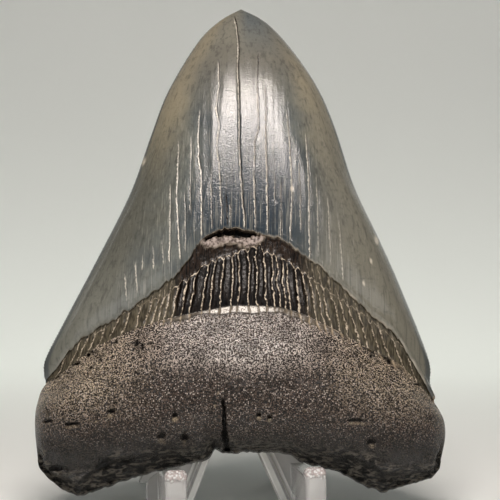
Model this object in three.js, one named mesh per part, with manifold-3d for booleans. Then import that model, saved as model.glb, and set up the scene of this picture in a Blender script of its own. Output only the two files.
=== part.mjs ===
// A large fossil shark tooth resting on a small clear plastic easel. Millimetres, +Z up.
// The inner (lingual) face of the tooth looks towards -Y. The origin is the middle of the
// footprint of the whole, on the table.
//
// The tooth is drawn in its own plane: u across, w up the tooth, t towards the viewer.
// That plane leans back on the easel.
import * as THREE from "three";
import { mergeVertices } from "three/addons/utils/BufferGeometryUtils.js";
import Module from "manifold-3d";

// Pose of the tooth on its stand
const LEAN = THREE.MathUtils.degToRad(14);
const LIFT = 3.5;

// Outline of the tooth. The root's sides run up to the notch under the enamel, and the crown's
// sides from there to the tip.
const LEFT_ROOT = [[-49.2, 8], [-50.1, 14.5], [-50.3, 19.2], [-49.6, 24], [-48.4, 26.2]];
const RIGHT_ROOT = [[44.2, 7.8], [45.5, 13.4], [45.2, 18], [43.4, 21.7]];
const LEFT_CROWN = [
  [-48.5, 27.1], [-48.9, 28.6], [-48.6, 32.5], [-44.3, 41.7], [-36.6, 57.5], [-29.2, 73.6],
  [-24.4, 88.5], [-20.4, 99.8], [-13.4, 112.4], [-8.2, 118.2], [-2.3, 121.8],
];
const RIGHT_CROWN = [
  [43.4, 22.4], [43.7, 23.2], [42.7, 26.5], [42.4, 32.5], [36.6, 48.7], [31.2, 62], [25.6, 74.8],
  [20.9, 90.6], [16.6, 101.2], [10.2, 111.2], [4.2, 118], [-2.3, 121.8],
];
const LOWER_EDGE = [
  [-49.2, 8], [-48.4, 5.6], [-45, 2.5], [-39.8, 0], [-36.1, 0.8], [-24.7, 4.6], [-14.7, 7.1], [-10, 8],
  [-7.9, 10.5], [-6, 9.7], [4, 9.9], [8.7, 9.4], [12.2, 7.5], [19.8, 5.4], [29.6, 0.9], [33.5, 1.5],
  [42.5, 4.3], [44.2, 7.8],
];
const NOTCH_HEIGHT = 26;

// The line where the root begins, and the lower edge of the enamel on the inner face.
// The dark band lies between them.
const ROOT_EDGE = [
  [-48.4, 26.2], [-44, 28.3], [-34.8, 34], [-21.9, 38.7], [-7.8, 41.7], [-1.2, 42.4], [10.6, 41],
  [27.8, 32.8], [35, 29.6], [43.4, 21.7],
];
const ENAMEL_EDGE = [
  [-48.5, 27.1], [-44.7, 30.7], [-40.2, 35.5], [-30.6, 40.9], [-20, 47.9], [-14.3, 53.8],
  [-11.4, 58.4], [-4.7, 61.5], [2, 59.8], [6.9, 58.6], [17.7, 50.9], [28.1, 41.2], [34.5, 36],
  [43.4, 22.4],
];

// Thickness of the tooth in front of its cutting edge, by height
const CROWN_SWELL = [
  [26, 13.5], [46, 13.5], [64, 12.6], [80, 11], [95, 9], [105, 7], [115, 4], [119, 2.2], [121.8, 0],
];
const ROOT_SWELL = [
  [0, 11], [8, 13], [16, 15.5], [24, 17.6], [33, 18.6], [38, 17.6], [42, 15.6], [50, 13.6], [62, 12.6],
];
const BACK_SWELL = [[26, 4], [60, 4], [90, 3.4], [105, 2.6], [115, 1.6], [121.8, 0]];
const ROOT_RIM_FORWARD = 2.5;
const ROOT_ROUNDING = 13;
const ROOT_BACK_ROUNDING = 7;
const ROOT_BACK_SWELL = 7.4;
const ROOT_SIDE_THINNING = 0.42;
const BACK_SIDE_THINNING = 0.2;
const BACK_UPPER_THINNING = 0.35;
const SHOULDER = 0.62;
const BAND_LIP = 0.4;
const ENAMEL_STEP = 0.9;
const RIB_HEIGHT = 0.9;
const VOID_DEPTH = 1.5;
const LEDGE_DEPTH = 1.5;
const GRAIN = 0.13;

// Cracks down the crown: place across at its foot, lower end, upper end, depth. They lean in
// towards the tip with the crown's sides. The places are measured across a foot this wide.
const CRACK_FOOT_MIDDLE = -1.6;
const CRACK_FOOT_WIDTH = 55.2;
const CRACKS = [
  [-21.5, 50, 80, 0.35], [-16, 52, 84, 0.35], [-11.8, 56, 96, 0.5], [-7.3, 59, 105, 0.5],
  [-2.2, 62, 116, 0.9], [1.6, 61, 105, 0.35], [4, 60, 97, 0.45], [9.4, 57, 93, 0.45],
  [13.8, 53, 88, 0.4],
];

// Hollows in the root: across, up, half width, half height, depth
const HOLLOWS = [
  [-31.3, 17.4, 1.6, 1.1, 1], [-16.8, 16.4, 1.2, 0.9, 0.9], [2.2, 16.9, 1.1, 0.9, 1],
  [4.5, 16.4, 1.1, 0.9, 1], [-14.9, 12.3, 1, 1, 1.1], [-19.9, 12.4, 1, 1, 0.9], [27.5, 11.3, 1.2, 1, 0.9],
  [23.7, 15.4, 2.6, 1, 0.7], [-33, 6.6, 1.7, 1.5, 1.2], [-46, 16.1, 2.6, 0.8, 1], [-40, 14.9, 2.6, 0.9, 1],
  [-44, 5.6, 3, 1.2, 1], [-33.7, 35.4, 1.5, 1.1, 0.8], [-24.5, 33.4, 2.4, 1, 1],
  [35.5, 30.4, 3.4, 1.7, 1.1], [28.4, 31.6, 1.2, 1.5, 0.8], [-37.6, 28.6, 1.3, 1.1, 0.7],
];

// The slit in the middle of the root: across at its top, top, across at its foot, widths, depth
const SLIT = { topU: -6.2, topW: 20.4, footU: -5.4, footW: 9, topWidth: 1, footWidth: 2, depth: 3.4 };

// Fineness of the surface. Rows are given as parts of the height of the root, band and crown.
const COLUMNS = 84;
const ROOT_ROWS = [
  0, 0.008, 0.03, 0.07, 0.12, 0.18, 0.24, 0.3, 0.36, 0.42, 0.48, 0.54, 0.6, 0.66, 0.72, 0.78, 0.84,
  0.89, 0.93, 0.97,
];
const BAND_ROWS = [0, 0.1, 0.3, 0.55, 0.78, 0.88];
const CROWN_ROW_COUNT = 16;
const CROWN_LAST_ROW = 0.985;
const BACK_COLUMNS = 20;
const BACK_ROWS = 22;

// Easel, before it is turned and moved under the tooth
const STAND_TURN = THREE.MathUtils.degToRad(8);
const STAND_X = -2.2;
const FRAME_FRONT = 6.7;
const FRAME_THICKNESS = 3;
const FRAME_HEIGHT = 47;
const HALF_GAP = 10.9;
const LEG_SLOPE = 0.424;
const LEG_WIDTH = 6;
const FOOT_HALF_SPAN = 21.4;
const FOOT_HEIGHT = 6.6;
const FOOT_CORNER = 3;
const LEG_BEND_HEIGHT = 13;
const UNDER_TABLE = 1;
const HEAD_HALF_WIDTH = 6;
const BEAD_WIDTH = 2.6;
const BEAD_HEIGHT = 0.7;
const ARM_OFFSET = 15.9;
const ARM_WIDTH = 5;
const ARM_TOP = 9.3;
const LIP_FRONT = -11;
const LIP_THICKNESS = 3;
const LIP_TOP = 11.6;
const REAR_FOOT_Y = 43;
const REAR_FOOT_THICKNESS = 3.4;
const REAR_HEAD_THICKNESS = 2.4;
const REAR_FOOT_HALF_SPAN = 21;
const REAR_HALF_GAP = 15;
const REAR_GAP_HEIGHT = 33;
const REAR_HEAD_HALF_WIDTH = 5;

const clamp01 = (x) => Math.min(1, Math.max(0, x));
const mix = (a, b, f) => a + (b - a) * f;

function smooth(from, to, x) {
  const f = clamp01((x - from) / (to - from));
  return f * f * (3 - 2 * f);
}

function interpolate(table, x) {
  if (x <= table[0][0]) return table[0][1];
  for (let i = 1; i < table.length; i += 1) {
    if (x <= table[i][0]) {
      const f = (x - table[i - 1][0]) / (table[i][0] - table[i - 1][0]);
      return mix(table[i - 1][1], table[i][1], f);
    }
  }
  return table[table.length - 1][1];
}

function curveThrough(points) {
  return new THREE.SplineCurve(points.map(([u, w]) => new THREE.Vector2(u, w)));
}

const lowerEdge = curveThrough(LOWER_EDGE);
const leftRoot = curveThrough(LEFT_ROOT);
const rightRoot = curveThrough(RIGHT_ROOT);
const leftCrown = curveThrough(LEFT_CROWN);
const rightCrown = curveThrough(RIGHT_CROWN);
const leftWhole = curveThrough([...LEFT_ROOT, ...LEFT_CROWN]);
const rightWhole = curveThrough([...RIGHT_ROOT, ...RIGHT_CROWN]);
const rootLine = curveThrough(ROOT_EDGE);
const enamelLine = curveThrough(ENAMEL_EDGE);

// A place in the patch between four curves: q runs across and v up. Without an upper curve the
// patch closes in the point where the two sides meet.
function placeInPatch(lower, upper, left, right, q, v, fadePower) {
  const from = left.getPointAt(v);
  const to = right.getPointAt(v);
  const place = from.lerp(to, q);
  const bend = (curve, end, weight) => {
    const chord = left.getPointAt(end).lerp(right.getPointAt(end), q);
    place.add(curve.getPointAt(q).sub(chord).multiplyScalar(weight));
  };
  bend(lower, 0, (1 - v) ** fadePower);
  if (upper) bend(upper, 1, v);
  return place;
}

// The root's edge as close points, for the distance that its rounding needs
const rootEdge = [lowerEdge, leftRoot, rightRoot].flatMap((curve) => curve.getSpacedPoints(140));

function distanceToRootEdge(u, w) {
  let nearest = Infinity;
  for (const p of rootEdge) nearest = Math.min(nearest, Math.hypot(u - p.x, w - p.y));
  return nearest;
}

function quarterRound(distance, radius) {
  const f = 1 - clamp01(distance / radius);
  return Math.sqrt(Math.max(0, 1 - f * f));
}

function rimForward(w) {
  return ROOT_RIM_FORWARD * (1 - smooth(14, NOTCH_HEIGHT + 1, w));
}

function dome(u, w, [centreU, centreW, halfU, halfW, depth]) {
  const far = Math.hypot((u - centreU) / halfU, (w - centreW) / halfW);
  return depth * (1 - smooth(0.3, 1.25, far));
}

function slitDepth(u, w) {
  if (w > SLIT.topW) return 0;
  const down = clamp01((SLIT.topW - w) / (SLIT.topW - SLIT.footW));
  const centre = mix(SLIT.topU, SLIT.footU, down);
  const halfWidth = mix(SLIT.topWidth, SLIT.footWidth, down) / 2;
  const wall = smooth(halfWidth * 0.6, halfWidth * 1.4, Math.abs(u - centre));
  return SLIT.depth * mix(0.4, 1, down) * (1 - wall);
}

// Long soft lumps of the root
function lumps(u, w) {
  const broad = Math.sin(0.19 * u + 1.1) * Math.sin(0.23 * w + 0.4);
  const middle = Math.sin(0.46 * u - 0.33 * w + 2);
  const small = Math.sin(0.9 * u + 0.7 * w) * Math.sin(0.8 * w - 0.5 * u + 1);
  return 0.4 * broad + 0.25 * middle + 0.2 * small;
}

// A small rough grain that differs from point to point
function grain(u, w) {
  const value = Math.sin(u * 12.9898 + w * 78.233) * 43758.5453;
  return value - Math.floor(value) - 0.5;
}

// How wide the broken ledge is along the lower edge of the root
function ledgeWidth(u) {
  const left = 3.2 * Math.exp(-(((u + 30) / 13) ** 2));
  const right = 2.8 * Math.exp(-(((u - 27) / 11) ** 2));
  return 0.7 + left + right;
}

function crownFront(w, c) {
  return interpolate(CROWN_SWELL, w) * (1 - Math.abs(c) ** 2.3) ** 0.85;
}

// Heights of the inner face in front of the tooth's plane. c runs from -1 to 1 across the tooth.
function rootFront(u, w, c, up) {
  const distance = distanceToRootEdge(u, w);
  const round = quarterRound(distance, ROOT_ROUNDING);
  const swell = interpolate(ROOT_SWELL, w) * (1 - ROOT_SIDE_THINNING * c * c);
  const inside = smooth(0, 0.8, distance);
  const width = ledgeWidth(u);
  const ledge = LEDGE_DEPTH * (1 - smooth(width, width + 0.9, distance));
  let rough = lumps(u, w) + 2 * GRAIN * grain(u, w);
  for (const hollow of HOLLOWS) rough -= dome(u, w, hollow);
  const body = rimForward(w) + swell * round - inside * (ledge + slitDepth(u, w));
  return mix(body, crownFront(w, c) + BAND_LIP, smooth(SHOULDER, 1, up)) + rough * inside;
}

function bandFront(u, w, c, up, column) {
  const middle = Math.exp(-((u / 24) ** 2));
  const rib = (column % 2) * RIB_HEIGHT * smooth(0.05, 0.2, up) * (1 - smooth(0.7, 0.9, up)) * middle;
  const hollow = VOID_DEPTH * smooth(0.7, 0.8, up) * Math.exp(-(((u + 4.5) / 8) ** 4));
  return crownFront(w, c) + BAND_LIP - (ENAMEL_STEP + BAND_LIP) * smooth(0, 0.1, up) - hollow + rib;
}

function crackDepth(q, w) {
  let depth = 0;
  for (const [u, low, high, deep] of CRACKS) {
    const across = 0.5 + (u - CRACK_FOOT_MIDDLE) / CRACK_FOOT_WIDTH;
    const near = Math.abs(q - across) < 0.6 / COLUMNS;
    if (near && w > low && w < high) depth = Math.max(depth, deep);
  }
  return depth;
}

// How far the outer face stands behind the tooth's plane, as a negative height
function backHeight(q, u, w) {
  const c = 2 * q - 1;
  const crown = -interpolate(BACK_SWELL, w) * (1 - Math.abs(c) ** 2.5) ** 0.9;
  const distance = distanceToRootEdge(u, w);
  const round = quarterRound(distance, ROOT_BACK_ROUNDING);
  const rough = 0.6 * lumps(u + 40, w) * smooth(0, 2, distance);
  const thinning = (1 - BACK_SIDE_THINNING * c * c) * (1 - BACK_UPPER_THINNING * smooth(12, 36, w));
  const root = rimForward(w) - ROOT_BACK_SWELL * thinning * round + rough;
  const overRoot = smooth(-1.4, 1.4, w - (25 + 11 * (1 - c * c)));
  return mix(root, crown, overRoot);
}

function toWorld(u, w, t) {
  return [u, w * Math.sin(LEAN) - t * Math.cos(LEAN), LIFT + w * Math.cos(LEAN) + t * Math.sin(LEAN)];
}

// Columns stand closer together towards the two edges.
function columnPlace(f, closeness) {
  return f - (closeness * Math.sin(2 * Math.PI * f)) / (2 * Math.PI);
}

// The rows of the inner face from the foot to the crown, each a list of [u, w, t]
function frontRows() {
  const bandLeft = curveThrough([LEFT_ROOT[LEFT_ROOT.length - 1], LEFT_CROWN[0]]);
  const bandRight = curveThrough([RIGHT_ROOT[RIGHT_ROOT.length - 1], RIGHT_CROWN[0]]);
  const makeRow = (place, height) => {
    const row = [];
    for (let column = 0; column <= COLUMNS; column += 1) {
      const q = columnPlace(column / COLUMNS, 0.2);
      const { x: u, y: w } = place(q);
      const onEdge = column === 0 || column === COLUMNS;
      row.push([u, w, onEdge ? rimForward(w) : height(u, w, 2 * q - 1, column, q)]);
    }
    return row;
  };
  const rows = [];
  for (const v of ROOT_ROWS) {
    const place = (q) => placeInPatch(lowerEdge, rootLine, leftRoot, rightRoot, q, v, 1);
    rows.push(makeRow(place, (u, w, c) => (v === 0 ? rimForward(w) : rootFront(u, w, c, v))));
  }
  for (const v of BAND_ROWS) {
    const place = (q) => placeInPatch(rootLine, enamelLine, bandLeft, bandRight, q, v, 1);
    rows.push(makeRow(place, (u, w, c, column) => bandFront(u, w, c, v, column)));
  }
  for (let i = 0; i <= CROWN_ROW_COUNT; i += 1) {
    const v = mix(0.001, CROWN_LAST_ROW, i / CROWN_ROW_COUNT);
    const place = (q) => placeInPatch(enamelLine, null, leftCrown, rightCrown, q, v, 1.2);
    rows.push(makeRow(place, (u, w, c, column, q) => crownFront(w, c) - crackDepth(q, w)));
  }
  return rows;
}

// The rows of the outer face, inside its rim
function backRows() {
  const rows = [];
  for (let r = 1; r < BACK_ROWS; r += 1) {
    const v = CROWN_LAST_ROW * (r / BACK_ROWS) ** 1.15;
    const row = [];
    for (let column = 1; column < BACK_COLUMNS; column += 1) {
      const q = columnPlace(column / BACK_COLUMNS, 0.6);
      const { x: u, y: w } = placeInPatch(lowerEdge, null, leftWhole, rightWhole, q, v, 2);
      row.push([u, w, backHeight(q, u, w)]);
    }
    rows.push(row);
  }
  return rows;
}

function buildTooth() {
  const positions = [];
  const triangles = [];
  const addPoint = ([u, w, t]) => positions.push(...toWorld(u, w, t)) / 3 - 1;
  const front = frontRows().map((row) => row.map(addPoint));
  const back = backRows().map((row) => row.map(addPoint));
  const tip = addPoint([...LEFT_CROWN[LEFT_CROWN.length - 1], 0]);

  const addGrid = (grid, flip) => {
    for (let r = 1; r < grid.length; r += 1) {
      for (let column = 1; column < grid[r].length; column += 1) {
        const [a, b] = [grid[r - 1][column - 1], grid[r - 1][column]];
        const [d, e] = [grid[r][column - 1], grid[r][column]];
        const faces = flip ? [[a, e, b], [a, d, e]] : [[a, b, e], [a, e, d]];
        for (const face of faces) triangles.push(...face);
      }
    }
  };
  // A strip between two lines of points with different spacing
  const addStrip = (fine, coarse) => {
    let i = 0;
    let j = 0;
    while (i < fine.length - 1 || j < coarse.length - 1) {
      const next = (i + 1) / (fine.length - 1);
      const nextCoarse = (j + 1) / (coarse.length - 1);
      if (j === coarse.length - 1 || (i < fine.length - 1 && next <= nextCoarse)) {
        triangles.push(fine[i + 1], fine[i], coarse[j]);
        i += 1;
      } else {
        triangles.push(fine[i], coarse[j], coarse[j + 1]);
        j += 1;
      }
    }
  };

  addGrid(front, false);
  addGrid(back, true);
  const topRow = front[front.length - 1];
  for (let column = 1; column < topRow.length; column += 1) {
    triangles.push(topRow[column - 1], topRow[column], tip);
  }
  const leftRim = [...front.map((row) => row[0]), tip];
  const rightRim = [...front.map((row) => row[COLUMNS]), tip];
  addStrip(front[0], back[0]);
  addStrip(rightRim, back.map((row) => row[row.length - 1]));
  addStrip([...leftRim].reverse(), back.map((row) => row[0]).reverse());
  const backTop = back[back.length - 1];
  for (let column = 1; column < backTop.length; column += 1) {
    triangles.push(backTop[column], backTop[column - 1], tip);
  }

  const geometry = new THREE.BufferGeometry();
  geometry.setAttribute("position", new THREE.Float32BufferAttribute(positions, 3));
  geometry.setIndex(triangles);
  return geometry;
}

const wasm = await Module();
wasm.setup();

function toManifold(geometry) {
  const bare = geometry.clone();
  bare.deleteAttribute("normal");
  bare.deleteAttribute("uv");
  const merged = mergeVertices(bare, 1e-4);
  return new wasm.Manifold(new wasm.Mesh({
    numProp: 3,
    vertProperties: Float32Array.from(merged.attributes.position.array),
    triVerts: Uint32Array.from(merged.index.array),
  }));
}

function fromManifold(solid) {
  const mesh = solid.getMesh();
  const geometry = new THREE.BufferGeometry();
  const places = Float32Array.from(mesh.vertProperties);
  geometry.setAttribute("position", new THREE.Float32BufferAttribute(places, 3));
  geometry.setIndex(Array.from(mesh.triVerts));
  return geometry;
}

function extrude(shape, depth) {
  return new THREE.ExtrudeGeometry(shape, { depth, bevelEnabled: false, curveSegments: 6 });
}

// Turns a drawing made in x and height into an upright plate that leans back.
function leanPlate(shape, thickness, frontY, lean = LEAN) {
  const plate = extrude(shape, thickness);
  plate.rotateX(Math.PI / 2 - lean);
  plate.translate(0, frontY + thickness, 0);
  return toManifold(plate);
}

// A profile drawn in depth and height, as wide as asked, centred at x
function sideProfile(shape, width, x) {
  const solid = extrude(shape, width);
  solid.rotateX(Math.PI / 2);
  solid.rotateZ(Math.PI / 2);
  solid.translate(x - width / 2, 0, 0);
  return toManifold(solid);
}

function frameShape() {
  const shape = new THREE.Shape();
  const low = -UNDER_TABLE;
  const legOuter = (v) => Math.max(HEAD_HALF_WIDTH, HALF_GAP + LEG_WIDTH - LEG_SLOPE * v);
  shape.moveTo(-FOOT_HALF_SPAN, low);
  shape.lineTo(-HALF_GAP - LEG_SLOPE, low);
  shape.lineTo(0, HALF_GAP / LEG_SLOPE);
  shape.lineTo(HALF_GAP + LEG_SLOPE, low);
  shape.lineTo(FOOT_HALF_SPAN, low);
  shape.lineTo(FOOT_HALF_SPAN, FOOT_HEIGHT - FOOT_CORNER);
  shape.quadraticCurveTo(FOOT_HALF_SPAN, FOOT_HEIGHT, FOOT_HALF_SPAN - FOOT_CORNER, FOOT_HEIGHT + 1);
  shape.lineTo(legOuter(LEG_BEND_HEIGHT), LEG_BEND_HEIGHT);
  shape.lineTo(HEAD_HALF_WIDTH, (HALF_GAP + LEG_WIDTH - HEAD_HALF_WIDTH) / LEG_SLOPE);
  shape.lineTo(HEAD_HALF_WIDTH, FRAME_HEIGHT - HEAD_HALF_WIDTH);
  shape.absarc(0, FRAME_HEIGHT - HEAD_HALF_WIDTH, HEAD_HALF_WIDTH, 0, Math.PI, false);
  shape.lineTo(-HEAD_HALF_WIDTH, (HALF_GAP + LEG_WIDTH - HEAD_HALF_WIDTH) / LEG_SLOPE);
  shape.lineTo(-legOuter(LEG_BEND_HEIGHT), LEG_BEND_HEIGHT);
  shape.lineTo(-FOOT_HALF_SPAN + FOOT_CORNER, FOOT_HEIGHT + 1);
  shape.quadraticCurveTo(-FOOT_HALF_SPAN, FOOT_HEIGHT, -FOOT_HALF_SPAN, FOOT_HEIGHT - FOOT_CORNER);
  shape.closePath();
  return shape;
}

// The raised bead along the inner edge of both legs
function beadShape() {
  const shape = new THREE.Shape();
  const low = -UNDER_TABLE;
  shape.moveTo(-HALF_GAP - LEG_SLOPE - BEAD_WIDTH, low);
  shape.lineTo(-HALF_GAP - LEG_SLOPE, low);
  shape.lineTo(0, HALF_GAP / LEG_SLOPE);
  shape.lineTo(HALF_GAP + LEG_SLOPE, low);
  shape.lineTo(HALF_GAP + LEG_SLOPE + BEAD_WIDTH, low);
  shape.lineTo(0, (HALF_GAP + BEAD_WIDTH) / LEG_SLOPE);
  shape.closePath();
  return shape;
}

function armShape() {
  const shape = new THREE.Shape();
  const bevel = 1.1;
  shape.moveTo(LIP_FRONT - 0.4, 0);
  shape.lineTo(FRAME_FRONT + 2, 0);
  shape.lineTo(FRAME_FRONT + 3, ARM_TOP);
  shape.lineTo(LIP_FRONT + LIP_THICKNESS + 0.6, ARM_TOP);
  shape.lineTo(LIP_FRONT + LIP_THICKNESS, LIP_TOP - bevel * 0.6);
  shape.lineTo(LIP_FRONT + LIP_THICKNESS - bevel, LIP_TOP);
  shape.lineTo(LIP_FRONT + bevel, LIP_TOP);
  shape.lineTo(LIP_FRONT, LIP_TOP - bevel);
  shape.closePath();
  return shape;
}

// The rear frame is a plate that slopes down from the head of the front one, here from the side.
function rearSlopeShape() {
  const shape = new THREE.Shape();
  const topY = FRAME_FRONT + (FRAME_HEIGHT - 5) * Math.tan(LEAN);
  const topZ = (FRAME_HEIGHT - 3) * Math.cos(LEAN);
  shape.moveTo(topY + 0.6, topZ - 3);
  shape.lineTo(topY + 1.2, topZ);
  shape.lineTo(topY + 1.2 + REAR_HEAD_THICKNESS, topZ);
  shape.lineTo(REAR_FOOT_Y + REAR_FOOT_THICKNESS, 0);
  shape.lineTo(REAR_FOOT_Y, 0);
  shape.closePath();
  return shape;
}

// The same frame from the front: two legs that meet in the head
function rearLegsShape() {
  const shape = new THREE.Shape();
  shape.moveTo(-REAR_FOOT_HALF_SPAN, 0);
  shape.lineTo(-REAR_HALF_GAP, 0);
  shape.lineTo(0, REAR_GAP_HEIGHT);
  shape.lineTo(REAR_HALF_GAP, 0);
  shape.lineTo(REAR_FOOT_HALF_SPAN, 0);
  shape.lineTo(REAR_HEAD_HALF_WIDTH, FRAME_HEIGHT);
  shape.lineTo(-REAR_HEAD_HALF_WIDTH, FRAME_HEIGHT);
  shape.closePath();
  return shape;
}

function buildRearFrame() {
  const slope = sideProfile(rearSlopeShape(), 2 * REAR_FOOT_HALF_SPAN, 0);
  const reach = REAR_FOOT_Y + REAR_FOOT_THICKNESS;
  return slope.intersect(leanPlate(rearLegsShape(), reach, 0, 0));
}

function buildStand() {
  const floor = new THREE.BoxGeometry(200, 200, 10);
  floor.translate(0, 0, -5);
  let stand = leanPlate(frameShape(), FRAME_THICKNESS, FRAME_FRONT);
  stand = stand.add(leanPlate(beadShape(), BEAD_HEIGHT + 1, FRAME_FRONT - BEAD_HEIGHT));
  for (const side of [-1, 1]) {
    stand = stand.add(sideProfile(armShape(), ARM_WIDTH, side * ARM_OFFSET));
  }
  stand = stand.add(buildRearFrame());
  stand = stand.subtract(toManifold(floor));
  const geometry = fromManifold(stand);
  geometry.rotateZ(STAND_TURN);
  geometry.translate(STAND_X, 0, 0);
  return geometry;
}

const fossil = new THREE.MeshStandardMaterial({ color: 0x4a453f, roughness: 0.45, metalness: 0 });
const clearPlastic = new THREE.MeshStandardMaterial({
  color: 0xe6ebe8, roughness: 0.12, metalness: 0, transparent: true, opacity: 0.35,
});

const tooth = new THREE.Mesh(buildTooth(), fossil);
tooth.name = "tooth";
const stand = new THREE.Mesh(buildStand(), clearPlastic);
stand.name = "display_stand";

const whole = new THREE.Group();
whole.name = "megalodon_tooth_on_stand";
whole.add(tooth, stand);

// The origin goes to the middle of the footprint.
const reach = new THREE.Box3().setFromObject(whole);
const middle = reach.getCenter(new THREE.Vector3());
for (const mesh of [tooth, stand]) mesh.geometry.translate(-middle.x, -middle.y, -reach.min.z);

export default whole;
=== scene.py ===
"""A large fossil shark tooth on a small clear plastic easel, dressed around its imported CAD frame.

The tooth is drawn in its own plane, in millimetres: u across, w up the tooth, t towards the viewer.
That plane leans back on the easel.
"""

import math
from types import SimpleNamespace

import bmesh
import bpy
import numpy as np
from mathutils import Euler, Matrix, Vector


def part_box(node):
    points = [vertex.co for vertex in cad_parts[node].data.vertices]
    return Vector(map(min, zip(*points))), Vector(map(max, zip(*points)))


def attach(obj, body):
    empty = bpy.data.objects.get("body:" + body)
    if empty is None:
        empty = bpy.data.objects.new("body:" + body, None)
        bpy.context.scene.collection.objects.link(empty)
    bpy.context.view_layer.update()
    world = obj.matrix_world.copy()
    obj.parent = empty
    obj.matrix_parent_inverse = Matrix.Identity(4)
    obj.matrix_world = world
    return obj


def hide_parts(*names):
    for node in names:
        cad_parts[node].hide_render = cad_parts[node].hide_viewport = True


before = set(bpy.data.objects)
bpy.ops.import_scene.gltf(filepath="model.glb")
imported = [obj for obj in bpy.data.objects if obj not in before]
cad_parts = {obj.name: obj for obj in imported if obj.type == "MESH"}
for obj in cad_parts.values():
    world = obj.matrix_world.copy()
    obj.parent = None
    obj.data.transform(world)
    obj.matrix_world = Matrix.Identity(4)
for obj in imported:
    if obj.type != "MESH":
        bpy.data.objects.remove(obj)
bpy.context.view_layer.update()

# The camera
# It looks level at the inner face of the tooth, from a third of a metre. The photograph's lower
# edge cuts off the feet of the stand.
MM = 0.001
CAMERA_DISTANCE = 330.0
CAMERA_HEIGHT = 60.72
PHOTO_SIZE = 500
PIXELS_PER_RADIAN = 1418.74
SENSOR_MM = 36.0

# The front corner of the stand's left lip in the tooth's coordinates, which ties them to the frame
LIP_CORNER_Y = -13.85
TOOTH_LEFT, TOOTH_RIGHT = -50.3, 45.5

stand_low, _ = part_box("display_stand")
tooth_low, tooth_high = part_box("tooth")
shift_x = (tooth_low[0] + tooth_high[0]) / 2 / MM - (TOOTH_LEFT + TOOTH_RIGHT) / 2
shift_y = stand_low[1] / MM - LIP_CORNER_Y


def add_to_scene(name, data):
    made = bpy.data.objects.new(name, data)
    bpy.context.scene.collection.objects.link(made)
    return made


lens = bpy.data.cameras.new("view")
lens.sensor_width = SENSOR_MM
lens.lens = PIXELS_PER_RADIAN * SENSOR_MM / PHOTO_SIZE
lens.clip_start = 0.01
lens.clip_end = 20.0
camera = add_to_scene("view", lens)
camera.location = Vector((shift_x, shift_y - CAMERA_DISTANCE, CAMERA_HEIGHT)) * MM
camera.rotation_euler = (math.radians(90), 0, 0)
bpy.context.scene.camera = camera

# The form of the tooth
# One natural piece: a pointed enamel crown, a dark band of bare dentine under it, and a thick
# rough root with two lobes. Its outline runs from the root's lower corners to the tip.
LEAN = math.radians(14)
LIFT = 3.5
LEFT_ROOT = [(-49.2, 8), (-50.1, 14.5), (-50.3, 19.2), (-49.6, 24), (-48.4, 26.2)]
RIGHT_ROOT = [(44.2, 7.8), (45.5, 13.4), (45.2, 18), (43.4, 21.7)]
LEFT_CROWN = [
    (-48.5, 27.1), (-48.9, 28.6), (-48.6, 32.5), (-44.3, 41.7), (-36.6, 57.5), (-29.2, 73.6),
    (-24.4, 88.5), (-20.4, 99.8), (-13.4, 112.4), (-8.2, 118.2), (-2.3, 121.8),
]
RIGHT_CROWN = [
    (43.4, 22.4), (43.7, 23.2), (42.7, 26.5), (42.4, 32.5), (36.6, 48.7), (31.2, 62), (25.6, 74.8),
    (20.9, 90.6), (16.6, 101.2), (10.2, 111.2), (4.2, 118), (-2.3, 121.8),
]
LOWER_EDGE = [
    (-49.2, 8), (-48.4, 5.6), (-45, 2.5), (-39.8, 0), (-36.1, 0.8), (-24.7, 4.6), (-14.7, 7.1),
    (-10, 8), (-7.9, 10.5), (-6, 9.7), (4, 9.9), (8.7, 9.4), (12.2, 7.5), (19.8, 5.4), (29.6, 0.9),
    (33.5, 1.5), (42.5, 4.3), (44.2, 7.8),
]
ROOT_EDGE = [
    (-48.4, 26.2), (-44, 28.3), (-34.8, 34), (-21.9, 38.7), (-7.8, 41.7), (-1.2, 42.4), (10.6, 41),
    (27.8, 32.8), (35, 29.6), (43.4, 21.7),
]
ENAMEL_EDGE = [
    (-48.5, 27.1), (-44.7, 30.7), (-40.2, 35.5), (-30.6, 40.9), (-20, 47.9), (-14.3, 53.8),
    (-11.4, 58.4), (-4.7, 61.5), (2, 59.8), (6.9, 58.6), (17.7, 50.9), (28.1, 41.2), (34.5, 36),
    (43.4, 22.4),
]
NOTCH_HEIGHT = 26.0

# Thickness in front of the cutting edge and behind it, by height
CROWN_SWELL = [
    (26, 13.5), (46, 13.5), (64, 12.6), (80, 11), (95, 9), (105, 7), (115, 4), (119, 2.2), (121.8, 0),
]
ROOT_SWELL = [
    (0, 11), (8, 13), (16, 15.5), (24, 17.6), (33, 18.6), (38, 17.6), (42, 15.6), (50, 13.6),
    (62, 12.6),
]
BACK_SWELL = [(26, 4), (60, 4), (90, 3.4), (105, 2.6), (115, 1.6), (121.8, 0)]
# How square the crown's cross-section is, and how full, in front and behind
FRONT_SQUARENESS, FRONT_FULLNESS = 2.3, 0.85
BACK_SQUARENESS, BACK_FULLNESS = 2.5, 0.9
ROOT_RIM_FORWARD = 2.5
ROOT_ROUNDING = 13.0
ROOT_BACK_ROUNDING = 7.0
ROOT_BACK_SWELL = 7.4
SHOULDER = 0.62
BAND_LIP = 0.4
ENAMEL_STEP = 0.9


def smooth(low, high, x):
    """Rises softly from 0 at low to 1 at high."""
    f = np.clip((x - low) / (high - low), 0, 1)
    return f * f * (3 - 2 * f)


def mix(a, b, f):
    return a + (b - a) * f


def bell(x, width):
    return np.exp(-((x / width) ** 2))


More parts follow.
